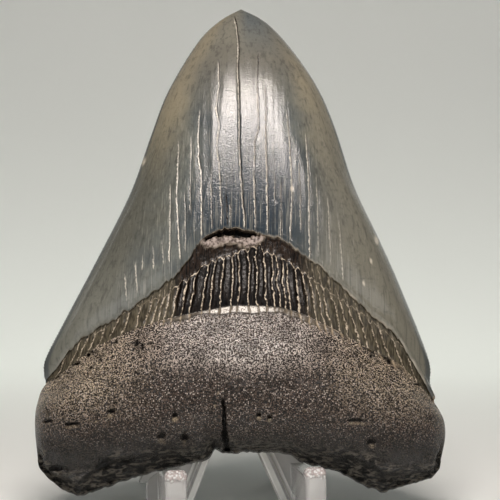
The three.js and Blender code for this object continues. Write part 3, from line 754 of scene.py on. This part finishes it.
def join_to_rim(rows, left_at, right_at, in_front):
    """Joins both ends of a face's rows to the rim, and its last row to the tip."""
    first, last = [row[0] for row in rows], [row[-1] for row in rows]
    add_strip(left_numbers, left_rim[:, 1], first, left_at, slot_by_height, flip=in_front)
    add_strip(right_numbers, right_rim[:, 1], last, right_at, slot_by_height, flip=not in_front)
    top = [left_numbers[-1], *rows[-1], right_numbers[-1]]
    for a, b in zip(top[:-1], top[1:]):
        add_face((a, b, tip) if in_front else (b, a, tip), ENAMEL_SLOT)


join_to_rim(front_rows, front[1][:, 0], front[1][:, -1], True)

back_q = column_places(BACK_COLUMNS, CLOSE_COLUMNS)
back_v = LAST_ROW * (np.arange(1, BACK_ROWS) / BACK_ROWS) ** BACK_ROW_POWER
back_u, back_w = patch(lower_edge, None, left_whole, right_whole, back_q, back_v, 2)
back_t, back_border = back_height(back_q, back_u, back_w)
back = [a[:, 1:-1] for a in (back_u, back_w, back_t)]
back_rows = [add_points(*(a[r] for a in back)) for r in range(BACK_ROWS - 1)]
for r in range(BACK_ROWS - 2):
    low, high = back_rows[r], back_rows[r + 1]
    for k in range(BACK_COLUMNS - 2):
        on_root = back_w[r, k + 1] < back_border[r, k + 1]
        add_face((low[k], high[k], high[k + 1], low[k + 1]), ROOT_SLOT if on_root else ENAMEL_SLOT)
bottom = np.concatenate([left_numbers[:1], front_rows[0], right_numbers[:1]])
add_strip(bottom, q, back_rows[0], back_q[1:-1], lambda at: ROOT_SLOT, flip=True)
join_to_rim(back_rows, back_w[:, 1], back_w[:, -2], False)

place = np.vstack(points)
marks = np.vstack(values)
tooth_mesh = bpy.data.meshes.new("fossil_tooth")
tooth_mesh.from_pydata(tooth_to_world(*place.T).tolist(), [], [tuple(int(n) for n in f) for f in faces])
tooth_mesh.polygons.foreach_set("material_index", face_materials)
tooth_mesh.polygons.foreach_set("use_smooth", [True] * len(faces))
plane_layer = tooth_mesh.attributes.new("plane", "FLOAT_VECTOR", "POINT")
plane_layer.data.foreach_set("vector", place.ravel())
columns = dict(zip(MARK_NAMES, marks.T), side=cross(place[:, 0], place[:, 1]))
for name, column in columns.items():
    layer = tooth_mesh.attributes.new(name, "FLOAT", "POINT")
    layer.data.foreach_set("value", np.ascontiguousarray(column, dtype=np.float32))
tooth_mesh.update()
tooth_mesh.set_sharp_from_angle(angle=SHARP_EDGE)
tooth = add_to_scene("fossil_tooth", tooth_mesh)
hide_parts("tooth")
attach(tooth, "root")


def paint(hex_code):
    """An sRGB hex colour as linear red, green and blue."""
    parts = [int(hex_code[i : i + 2], 16) / 255 for i in (1, 3, 5)]
    return [v / 12.92 if v <= 0.04045 else ((v + 0.055) / 1.055) ** 2.4 for v in parts] + [1.0]


def new_material(name):
    """An empty material, and the function that adds nodes to it."""
    material = bpy.data.materials.new(name)
    material.use_nodes = True
    tree = material.node_tree
    tree.nodes.clear()

    def add(kind, inputs=(), output=0, **settings):
        """Adds a node and gives one of its outputs.

        Inputs go by place or by name, and are values or the outputs of other nodes.
        """
        made = tree.nodes.new("ShaderNode" + kind)
        for setting, value in settings.items():
            setattr(made, setting, value)
        for socket, value in (inputs if isinstance(inputs, dict) else dict(enumerate(inputs))).items():
            if isinstance(value, bpy.types.NodeSocket):
                tree.links.new(value, made.inputs[socket])
            else:
                made.inputs[socket].default_value = value
        return made.outputs[output] if made.outputs else made

    return material, add


RISE = {"interpolation_type": "SMOOTHSTEP"}
PLUS = {"operation": "ADD"}
TIMES = {"operation": "MULTIPLY"}
TIMES_PLUS = {"operation": "MULTIPLY_ADD"}
UNSIGNED = {"operation": "ABSOLUTE"}


def read_marks(add):
    """The marks of the mesh, its own plane in millimetres, and how far beside a line a place is."""
    marks = {name: add("Attribute", output="Fac", attribute_name=name) for name in (*MARK_NAMES, "side")}
    marks["side"] = add("Math", [marks["side"]], **UNSIGNED)
    marks["plane"] = add("Attribute", output="Vector", attribute_name="plane")
    marks["across"] = add("SeparateXYZ", [marks["plane"]], output="X")
    marks["up"] = add("SeparateXYZ", [marks["plane"]], output="Y")
    part = add("Math", [add("Math", [marks["line"], 0.5], **PLUS)], operation="FRACT")
    marks["beside"] = add("Math", [part, LINE_REACH, -LINE_REACH / 2], **TIMES_PLUS)
    return SimpleNamespace(**marks)


# Fossil root dentine: near-black brown with a grain like wet sugar, whose glitter is painted in as
# pale specks. The grain is a little over a pixel wide, which is as fine as the render can show. The
# upper root, which faces the light, is painted lighter, and the shelf under the band paler still as
# its painted highlight; the tan upper sides are painted lighter too. The lowest part is dullest, the
# broken edge shows drawn-out layers, and the glints on the strip under the scales are painted as
# pale cells.
GRAIN_WIDTH = 0.3226
FINE_GRAIN_WIDTH = 0.2941
CRYSTAL_WIDTH = 0.3333
PATCH_WIDTH = 5
LAYER_LENGTH, LAYER_THICKNESS = 1.818, 0.909
ROOT_BUMP = 0.0003
material, add = new_material("fossil_root_dentine")
at = read_marks(add)
grain = add("TexNoise", {"Vector": at.plane, "Scale": 1 / GRAIN_WIDTH, "Detail": 2, "Roughness": 0.6})
fine = add("TexNoise", {"Vector": at.plane, "Scale": 1 / FINE_GRAIN_WIDTH, "Detail": 2})
patches = add("TexNoise", {"Vector": at.plane, "Scale": 1 / PATCH_WIDTH, "Detail": 3})
cells = {"Vector": at.plane, "Scale": 1 / CRYSTAL_WIDTH}
crystal_tone = add("SeparateColor", [add("TexVoronoi", cells, output="Color")])
crystal_top = add("MapRange", [add("TexVoronoi", cells), 0.6, 0.28], **RISE)
drawn_out = add("Mapping", {"Vector": at.plane, "Scale": (1 / LAYER_LENGTH, 1 / LAYER_THICKNESS, 1)})
layers = add("TexNoise", {"Vector": drawn_out, "Scale": 1, "Detail": 4, "Roughness": 0.65})
above_edge = add("MapRange", [at.up, 7, 17], **RISE)
# Painted light: the upper root faces up to the light and is painted lighter there.
high = add("MapRange", [at.up, 23, 33], **RISE)
outer = add("MapRange", [at.side, 0.3, 0.8], **RISE)
# The upper sides: tan of their own, and painted lighter where they curve up to the light.
tan_and_lit_sides = add("Math", [outer, add("MapRange", [at.up, 12, 27], **RISE)], **TIMES)
# Valley tones: darker above the lowest part, lighter on the upper sides, and lighter on the shelf as part of
# its painted highlight
valley = paint("#080706")
for part, tone in ((above_edge, "#040202"), (tan_and_lit_sides, "#2c241b"), (at.zone, "#4a3f39")):
    valley = add("MixRGB", [part, valley, paint(tone)])
# Crest tones: lighter above the lowest part, painted lighter on the upper root, tan and painted lighter on
# the upper sides, and palest on the shelf as its painted highlight
crest = paint("#37332d")
for part, tone in (
    (above_edge, "#63544a"), (high, "#cdbcae"), (tan_and_lit_sides, "#e2d0b6"), (at.zone, "#fff7f1"),
):
    crest = add("MixRGB", [part, crest, paint(tone)])
grain_top = add("MapRange", [grain, 0.49, 0.57], **RISE)
shaded = add("MapRange", [patches, 0.45, 0.7, 0, 0.45], **RISE)
# Painted glitter: pale specks on the crystal tops stand in for the grain's glints, fewer low down.
painted_glitter = add("MapRange", [crystal_tone, 0.62, 0.9], **RISE)
for part in (crystal_top, add("MapRange", [at.up, 9, 21, 0.05, 0.75])):
    painted_glitter = add("Math", [painted_glitter, part], **TIMES)
on_strip = add("MapRange", [at.border, -0.12, 0.05], **RISE)
smooth_strip = add("MixRGB", [fine, paint("#4a4238"), paint("#6a6154")])
from_seam = add("Math", [at.beside], **UNSIGNED)
# Painted glints: pale cells in the middle of the smooth strip under the scales stand in for its highlight.
painted_glint = add("MapRange", [at.side, 0.16, 0.24, 1, 0], **RISE)
for part in (
    add("MapRange", [from_seam, 0.2, 0.45], **RISE),
    add("MapRange", [at.border, 0.1, 0.3]),
    add("MapRange", [fine, 0.35, 0.5]),
):
    painted_glint = add("Math", [painted_glint, part], **TIMES)
seam = add("Math", [add("MapRange", [from_seam, 0.3, 0.08], **RISE), at.line_pale], **TIMES)
chips = add("MapRange", [fine, 0.35, 0.6], **RISE)
worn_lip = add("MixRGB", [chips, paint("#5a4d3d"), paint("#b8a78c")])
broken = add("MapRange", [layers, 0.46, 0.58], **RISE)
broken_tone = add("MixRGB", [broken, paint("#080706"), paint("#6b655b")])
broken_part = add("Math", [at.strip, 0.85], **TIMES)
colour = add("MixRGB", [grain_top, valley, crest])
for part, tone in (
    (shaded, paint("#17110e")),
    (painted_glitter, paint("#f3e4d8")),
    (on_strip, smooth_strip),
    (painted_glint, paint("#e6e0d8")),
    (seam, paint("#a8977f")),
    (at.pale, worn_lip),
    (broken_part, broken_tone),
    (at.dark, paint("#060504")),
):
    colour = add("MixRGB", [part, colour, tone])
relief = add("Math", [crystal_top, crystal_tone, grain_top], **TIMES_PLUS)
relief = add("Math", [fine, 0.6, relief], **TIMES_PLUS)
relief = add("Math", [add("Math", [layers, at.strip], **TIMES), 6, relief], **TIMES_PLUS)
grit = add("MapRange", [on_strip, 0, 1, 1, 0.2])
bump = add("Bump", {"Height": relief, "Strength": grit, "Distance": ROOT_BUMP})
surface = add("BsdfPrincipled", {
    "Base Color": colour, "Roughness": 0.22, "IOR": 1.5, "Specular IOR Level": 0.45, "Normal": bump,
})
add("OutputMaterial", [surface])
tooth_mesh.materials.append(material)

# Fossil band dentine: black and glossy in the middle, olive at the sides, with upright fibres. The
# cream mineral in its seams is knotted, about 0.4 mm wide at most, and stained in patches.
FIBRE_WIDTH, FIBRE_LENGTH = 0.3846, 2.222
MINERAL_WIDTH = 0.6667
KNOT_WIDTH = 0.909
BAND_BUMP = 0.00014
material, add = new_material("fossil_band_dentine")
at = read_marks(add)
drawn_out = add("Mapping", {"Vector": at.plane, "Scale": (1 / FIBRE_WIDTH, 1 / FIBRE_LENGTH, 1)})
fibres = add("TexNoise", {"Vector": drawn_out, "Scale": 1, "Detail": 3})
mineral = add("TexNoise", {"Vector": at.plane, "Scale": 1 / MINERAL_WIDTH, "Detail": 3})
knots = add("TexNoise", {"Vector": at.plane, "Scale": 1 / KNOT_WIDTH, "Detail": 3, "Roughness": 0.6})
fibre = add("MapRange", [fibres, 0.36, 0.64], **RISE)
brown = add("MixRGB", [fibre, paint("#080504"), paint("#2c2119")])
olive = add("MixRGB", [fibre, paint("#353129"), paint("#585244")])
black = add("MixRGB", [fibre, paint("#030202"), paint("#17110d")])
cream_tone = add("MapRange", [mineral, 0.35, 0.62], **RISE)
cream = add("MixRGB", [cream_tone, paint("#5f5143"), paint("#d4c5b0")])
pinkish = add("MixRGB", [cream_tone, paint("#554b46"), paint("#b0a29a")])
ledge_tone = add("MixRGB", [at.strip, cream, pinkish])
ragged_edge = add("MapRange", [mineral, 0.3, 0.7, -0.16, 0.16])
seam_half = add("MapRange", [knots, 0.35, 0.7, 0.06, 0.31])
from_seam = add("Math", [add("Math", [at.beside, ragged_edge], **PLUS)], **UNSIGNED)
seam = add("MapRange", [add("Math", [from_seam, seam_half], operation="DIVIDE"), 1, 0.45], **RISE)
for part in (at.line_pale, add("MapRange", [mineral, 0.34, 0.5, 0.3, 1])):
    seam = add("Math", [seam, part], **TIMES)
from_top = add("Math", [add("Math", [at.border, ragged_edge], **PLUS)], **UNSIGNED)
arch = add("MapRange", [add("Math", [from_top, seam_half], operation="DIVIDE"), 1, 0.5], **RISE)
arch = add("Math", [arch, add("MapRange", [at.zone, 0, 1, 0.35, 0.9])], **TIMES)
colour = olive
# Black on the scales in the middle is their own colour; in the hollow under the enamel it is painted shade.
for part, tone in (
    (at.zone, brown), (at.dark, black), (seam, cream), (arch, cream), (at.pale, ledge_tone),
):
    colour = add("MixRGB", [part, colour, tone])
relief = add("Math", [fibres, mineral], **PLUS)
bump = add("Bump", {"Height": relief, "Strength": 0.6, "Distance": BAND_BUMP})
surface = add("BsdfPrincipled", {
    "Base Color": colour, "Roughness": 0.26, "IOR": 1.5, "Specular IOR Level": 0.2, "Normal": bump,
})
add("OutputMaterial", [surface])
tooth_mesh.materials.append(material)

# Fossil enamel: polished grey with fine long streaks, slate blue low in the middle, where it is
# darkened as a painted reflection of the dark room in front, tan at its upper sides, and thin cracks
# with a dark right side and a pale filling on the left. A streak's three sizes are its width, its
# length up the crown and its depth.
PALE_STREAK = (0.3125, 18.18, 0.6667)
DARK_STREAK = (1, 28.57, 0.5)
CLOUD_WIDTH = 11.765
MOTTLE_WIDTH = 1.111
PEEL_WIDTH = 0.45455
FILLING_LEFT, SPLIT_RIGHT = 0.06, -0.14
ENAMEL_BUMP = 0.0001
material, add = new_material("fossil_enamel")
at = read_marks(add)
thin_drawn = add("Mapping", {"Vector": at.plane, "Scale": [1 / size for size in PALE_STREAK]})
wide_drawn = add("Mapping", {"Vector": at.plane, "Scale": [1 / size for size in DARK_STREAK]})
pale_streaks = add("TexNoise", {"Vector": thin_drawn, "Scale": 1, "Detail": 3, "Roughness": 0.6})
dark_streaks = add("TexNoise", {"Vector": wide_drawn, "Scale": 1, "Detail": 3, "Roughness": 0.6})
clouds = add("TexNoise", {"Vector": at.plane, "Scale": 1 / CLOUD_WIDTH, "Detail": 3})
mottle = add("TexNoise", {"Vector": at.plane, "Scale": 1 / MOTTLE_WIDTH, "Detail": 4, "Roughness": 0.65})
mineral = add("TexNoise", {"Vector": at.plane, "Scale": 1 / MINERAL_WIDTH, "Detail": 4, "Roughness": 0.65})
peel = add("TexNoise", {"Vector": at.plane, "Scale": 1 / PEEL_WIDTH, "Detail": 2})
cloud = add("MapRange", [clouds, 0.38, 0.62], **RISE)
tan = add("MapRange", [add("Math", [clouds, 0.5, at.side], **TIMES_PLUS), 0.75, 1.1], **RISE)
high = add("MapRange", [at.up, 70, 100], **RISE)
tan_tone = add("MixRGB", [high, paint("#5b5b53"), paint("#8d8570")])
upper = add("MapRange", [at.up, 88, 106, 0, 0.6])
right = add("MapRange", [at.across, 10, 20, 0, 0.65], **RISE)
left = add("MapRange", [at.across, -12, -26, 0, 0.5], **RISE)
left = add("Math", [left, add("MapRange", [at.up, 60, 44])], **TIMES)
# Slate blue with a painted dark reflection of the room in front, low in the middle
slate_and_dark_reflection = add("Math", [at.zone, 0.9], **TIMES)
tip_blue = add("MapRange", [at.up, 106, 117, 0, 0.7])
tip_blue = add("Math", [tip_blue, add("MapRange", [at.across, -4, 0], **RISE)], **TIMES)
pale_streak = add("MapRange", [pale_streaks, 0.5, 0.68, 0, 0.45], **RISE)
for part in (
    add("MapRange", [at.up, 104, 80, 0.1, 1]),
    add("MapRange", [at.side, 0.5, 0.8, 1, 0.25]),
):
    pale_streak = add("Math", [pale_streak, part], **TIMES)
dark_streak = add("MapRange", [dark_streaks, 0.5, 0.68, 0, 0.4], **RISE)
spot = add("MapRange", [mottle, 0.5, 0.75, 0, 0.4], **RISE)
edge = add("MapRange", [at.side, 0.96, 0.98, 0, 0.75], **RISE)
ragged_edge = add("MapRange", [mineral, 0.3, 0.7, -0.15, 0.15])
beside = add("Math", [at.beside, ragged_edge], **PLUS)
from_filling = add("Math", [add("Math", [beside, FILLING_LEFT], **PLUS)], **UNSIGNED)
filling = add("MapRange", [from_filling, 0.2, 0.07], **RISE)
for part in (
    add("MapRange", [at.line_pale, 0.2, 0.8]),
    add("MapRange", [mineral, 0.36, 0.54, 0.1, 1]),
):
    filling = add("Math", [filling, part], **TIMES)
from_split = add("Math", [add("Math", [beside, SPLIT_RIGHT], **PLUS)], **UNSIGNED)
split = add("MapRange", [from_split, 0.26, 0.1], **RISE)
split = add("Math", [split, add("MapRange", [at.line_dark, 0, 0.55])], **TIMES)
colour = add("MixRGB", [cloud, paint("#4c5254"), paint("#666a66")])
colour = add("MixRGB", [tan, colour, tan_tone])
for part, tone in (
    (upper, "#7c7668"),
    (right, "#7b786c"),
    (left, "#7f8078"),
    (slate_and_dark_reflection, "#27323c"),
    (tip_blue, "#4d565c"),
    (pale_streak, "#a19f95"),
    (dark_streak, "#333433"),
    (spot, "#3d3d39"),
    (edge, "#41474a"),
    (split, "#150d09"),
    (filling, "#d6cfc1"),
    (at.pale, "#d3c9b8"),
):
    colour = add("MixRGB", [part, colour, paint(tone)])
relief = add("Math", [pale_streaks, 0.3, peel], **TIMES_PLUS)
relief = add("Math", [split, -1.5, relief], **TIMES_PLUS)
relief = add("Math", [filling, 0.8, relief], **TIMES_PLUS)
bump = add("Bump", {"Height": relief, "Strength": 0.45, "Distance": ENAMEL_BUMP})
worn = add("MapRange", [mottle, 0.2, 0.8, 0.1, 0.24])
surface = add("BsdfPrincipled", {
    "Base Color": colour, "Roughness": worn, "IOR": 1.62, "Specular IOR Level": 0.31, "Normal": bump,
})
add("OutputMaterial", [surface])
tooth_mesh.materials.append(material)

# The stand
# A one-piece easel of clear injection-moulded polystyrene with softened edges. Its lips end in
# rough crystalline tops where the mould's gates were broken off.
STAND_TURN = math.radians(8)
STAND_X = -2.2
STAND_ROUNDING = 0.36
LIP_ROUNDING = 1.55
LIP_RIDGE, LIP_TOP = -9.5, 11.6
LIP_BACK, LIP_FRONT = -7.5, -10.6
ARM_TOP = 9.4
HALF_GAP, LEG_SLOPE = 10.9, 0.437
SAME_PLACE = 0.00001
cad_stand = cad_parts["display_stand"]
shape = bmesh.new()
shape.from_mesh(cad_stand.data)
shape.transform(cad_stand.matrix_world)
bmesh.ops.remove_doubles(shape, verts=shape.verts, dist=SAME_PLACE)
bmesh.ops.dissolve_limit(shape, angle_limit=math.radians(1), verts=shape.verts, edges=shape.edges)


def in_stand(place):
    """A place in millimetres in the stand's own directions, where y runs straight back from its lips."""
    x, y, z = place / MM
    x, y = x - shift_x - STAND_X, y - shift_y
    cos, sin = math.cos(STAND_TURN), math.sin(STAND_TURN)
    return Vector((x * cos + y * sin, y * cos - x * sin, z))


def on_lip(edge):
    """True for the sharp edges over the top and down the front corners of a lip."""
    if edge.calc_face_angle(0) < 1:
        return False
    ends = [in_stand(v.co) for v in edge.verts]
    over_top = all(p.y < LIP_BACK and p.z > ARM_TOP for p in ends)
    return over_top or all(p.y < LIP_FRONT for p in ends) and ends[0].z + ends[1].z > ARM_TOP


for v in shape.verts:
    corner = in_stand(v.co)
    if corner.z > LIP_TOP - 0.1 and corner.y < LIP_BACK:
        step = (LIP_RIDGE - corner.y) * MM
        v.co += Vector((-math.sin(STAND_TURN), math.cos(STAND_TURN), 0)) * step
bmesh.ops.remove_doubles(shape, verts=shape.verts, dist=SAME_PLACE)
lip_edges = [e for e in shape.edges if on_lip(e)]
bmesh.ops.bevel(
    shape, geom=lip_edges, offset=LIP_ROUNDING * MM, segments=5, profile=0.5, affect="EDGES",
    clamp_overlap=True,
)
stand_mesh = bpy.data.meshes.new("clear_easel")
shape.to_mesh(stand_mesh)
shape.free()
stand = add_to_scene("clear_easel", stand_mesh)
soften = stand.modifiers.new("soft_edges", "BEVEL")
soften.width = STAND_ROUNDING * MM
soften.segments = 3
soften.use_clamp_overlap = False
soften.limit_method = "ANGLE"
soften.angle_limit = math.radians(25)
stand_mesh.polygons.foreach_set("use_smooth", [True] * len(stand_mesh.polygons))
stand_mesh.set_sharp_from_angle(angle=math.radians(40))
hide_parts("display_stand")
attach(stand, "root")

# Clear polystyrene: water-clear with a faint grey body, and frosted where it was broken off, in
# crystals 0.6 mm across, whose glints are painted in as whiter and greyer crystals. Two beads along
# the inner edges of the legs gather light, and that light is painted on them as a milk-white glow.
BROKEN_UNEVENNESS = 1.25
CRYSTAL_SIZE = 0.625
FLOW_LENGTH = 2.857
BEAD_WIDTH, SECOND_BEAD = 1.9, -3.1
FROST_FROM, FROST_FULL = 10.4, 11.4
STAND_BUMP = 0.0006
material, add = new_material("clear_polystyrene")
turn_back = Vector((shift_x + STAND_X, shift_y, 0))
turn_back.rotate(Euler((0, 0, -STAND_TURN)))
place = add("Mapping", {
    "Vector": add("NewGeometry", output="Position"), "Location": -turn_back,
    "Rotation": (0, 0, -STAND_TURN), "Scale": (1 / MM, 1 / MM, 1 / MM),
})
across = add("Math", [add("SeparateXYZ", [place], output="X")], **UNSIGNED)
back = add("SeparateXYZ", [place], output="Y")
up = add("SeparateXYZ", [place], output="Z")
uneven = add("TexNoise", {"Vector": place, "Scale": 1 / BROKEN_UNEVENNESS, "Detail": 2})
crystals = add("TexVoronoi", {"Vector": place, "Scale": 1 / CRYSTAL_SIZE})
flow = add("TexNoise", {"Vector": place, "Scale": 1 / FLOW_LENGTH, "Detail": 3})
frost = add("MapRange", [add("Math", [uneven, 3, up], **TIMES_PLUS), FROST_FROM, FROST_FULL], **RISE)
frost = add("Math", [frost, add("MapRange", [back, LIP_BACK, LIP_BACK - 0.6], **RISE)], **TIMES)
from_edge = add("Math", [up, LEG_SLOPE, across], **TIMES_PLUS)
from_edge = add("Math", [from_edge, -HALF_GAP], **PLUS)
from_second = add("Math", [add("Math", [from_edge, SECOND_BEAD], **PLUS)], **UNSIGNED)
bead = add("MapRange", [from_edge, BEAD_WIDTH, 1.5], **RISE)
bead = add("Math", [bead, add("MapRange", [from_second, 0.8, 0.4], **RISE)], operation="MAXIMUM")
bead = add("Math", [bead, add("MapRange", [back, 2, 4])], **TIMES)
relief = add("Math", [flow, 0.15, add("Math", [crystals, frost], **TIMES)], **TIMES_PLUS)
bump = add("Bump", {"Height": relief, "Strength": 0.9, "Distance": STAND_BUMP})
# Painted glints on the frosted tops: whiter and greyer crystals.
painted_sparkle = add("MapRange", [crystals, 0.2, 0.6], **RISE)
frost_and_painted_sparkle = add("MixRGB", [painted_sparkle, paint("#ffffff"), paint("#cbbfbc")])
clear, painted_bead_glow, rough_white = (
    add("BsdfPrincipled", {
        "Base Color": tone, "Roughness": roughness, "IOR": 1.58, "Transmission Weight": through,
        "Normal": bump,
    })
    for tone, roughness, through in (
        (paint("#efedec"), 0.2, 0.7), (paint("#fffffb"), 0.25, 0), (frost_and_painted_sparkle, 0.12, 0.1),
    )
)
# Painted glow: the beads are a lit, milk-white surface that stands in for the light they gather.
body = add("MixShader", [add("Math", [bead, 0.9], **TIMES), clear, painted_bead_glow])
body = add("MixShader", [add("Math", [frost, 0.85], **TIMES), body, rough_white])
add("OutputMaterial", [body])
stand_mesh.materials.clear()
stand_mesh.materials.append(material)

# The table and backdrop
# A pale sheet of paper that lies under the stand and curves up behind it. It is wide enough to
# fill the view from every side.
SHEET_HALF_WIDTH = 3.0
SHEET_FRONT, SHEET_BEND, SHEET_TOP = -3.0, 0.35, 1.2
BEND_RADIUS = 0.25
BEND_STEPS = 12
profile = [(SHEET_FRONT, 0.0)]
for step in range(BEND_STEPS + 1):
    turn = math.radians(90 * step / BEND_STEPS)
    profile.append((SHEET_BEND + BEND_RADIUS * math.sin(turn), BEND_RADIUS * (1 - math.cos(turn))))
profile.append((SHEET_BEND + BEND_RADIUS, SHEET_TOP))
corners = [(x, y, z) for y, z in profile for x in (-SHEET_HALF_WIDTH, SHEET_HALF_WIDTH)]
strips = [(2 * i, 2 * i + 1, 2 * i + 3, 2 * i + 2) for i in range(len(profile) - 1)]
sheet_mesh = bpy.data.meshes.new("paper_sheet")
sheet_mesh.from_pydata(corners, [], strips)
sheet_mesh.polygons.foreach_set("use_smooth", [True] * len(strips))
sheet = add_to_scene("paper_sheet", sheet_mesh)
material, add = new_material("pale_paper")
surface = add("BsdfPrincipled", {
    "Base Color": paint("#f2f5f3"), "Roughness": 0.7, "Specular IOR Level": 0.2,
})
add("OutputMaterial", [surface])
sheet_mesh.materials.append(material)

# The light
# One soft box overhead and in front gives the long highlight on the crown. A wash lights the sheet
# behind, two weak fills open the shadows, and the room adds a little.


def area_light(name, place, aim, size, power, colour="#ffffff", spread=180):
    data = bpy.data.lights.new(name, "AREA")
    data.shape = "RECTANGLE"
    data.size, data.size_y = size
    data.energy = power
    data.color = paint(colour)[:3]
    data.spread = math.radians(spread)
    made = add_to_scene(name, data)
    made.location = place
    made.rotation_euler = (Vector(aim) - Vector(place)).to_track_quat("-Z", "Y").to_euler()


area_light(
    "overhead_box", place=(-0.008, -0.287, 0.445), aim=(0.003, -0.002, 0.095), size=(0.31, 0.068),
    power=2.45, colour="#fff5ee",
)
area_light(
    "back_wash", place=(0.0, 0.66, 0.8), aim=(0.0, 0.46, 0.0), size=(1.4, 0.2), power=4.0,
    colour="#f9fcf3", spread=46,
)
for name, side_x, power in (("left_fill", -0.46, 0.9), ("right_fill", 0.46, 1.1)):
    area_light(name, place=(side_x, -0.6, 0.2), aim=(0.0, 0.0, 0.06), size=(0.4, 0.6), power=power)
world = bpy.data.worlds.new("room")
world.use_nodes = True
room_light = world.node_tree.nodes["Background"]
room_light.inputs["Color"].default_value = paint("#8d918f")
room_light.inputs["Strength"].default_value = 0.07
bpy.context.scene.world = world
bpy.context.scene.view_settings.view_transform = "Standard"
bpy.context.scene.view_settings.look = "None"
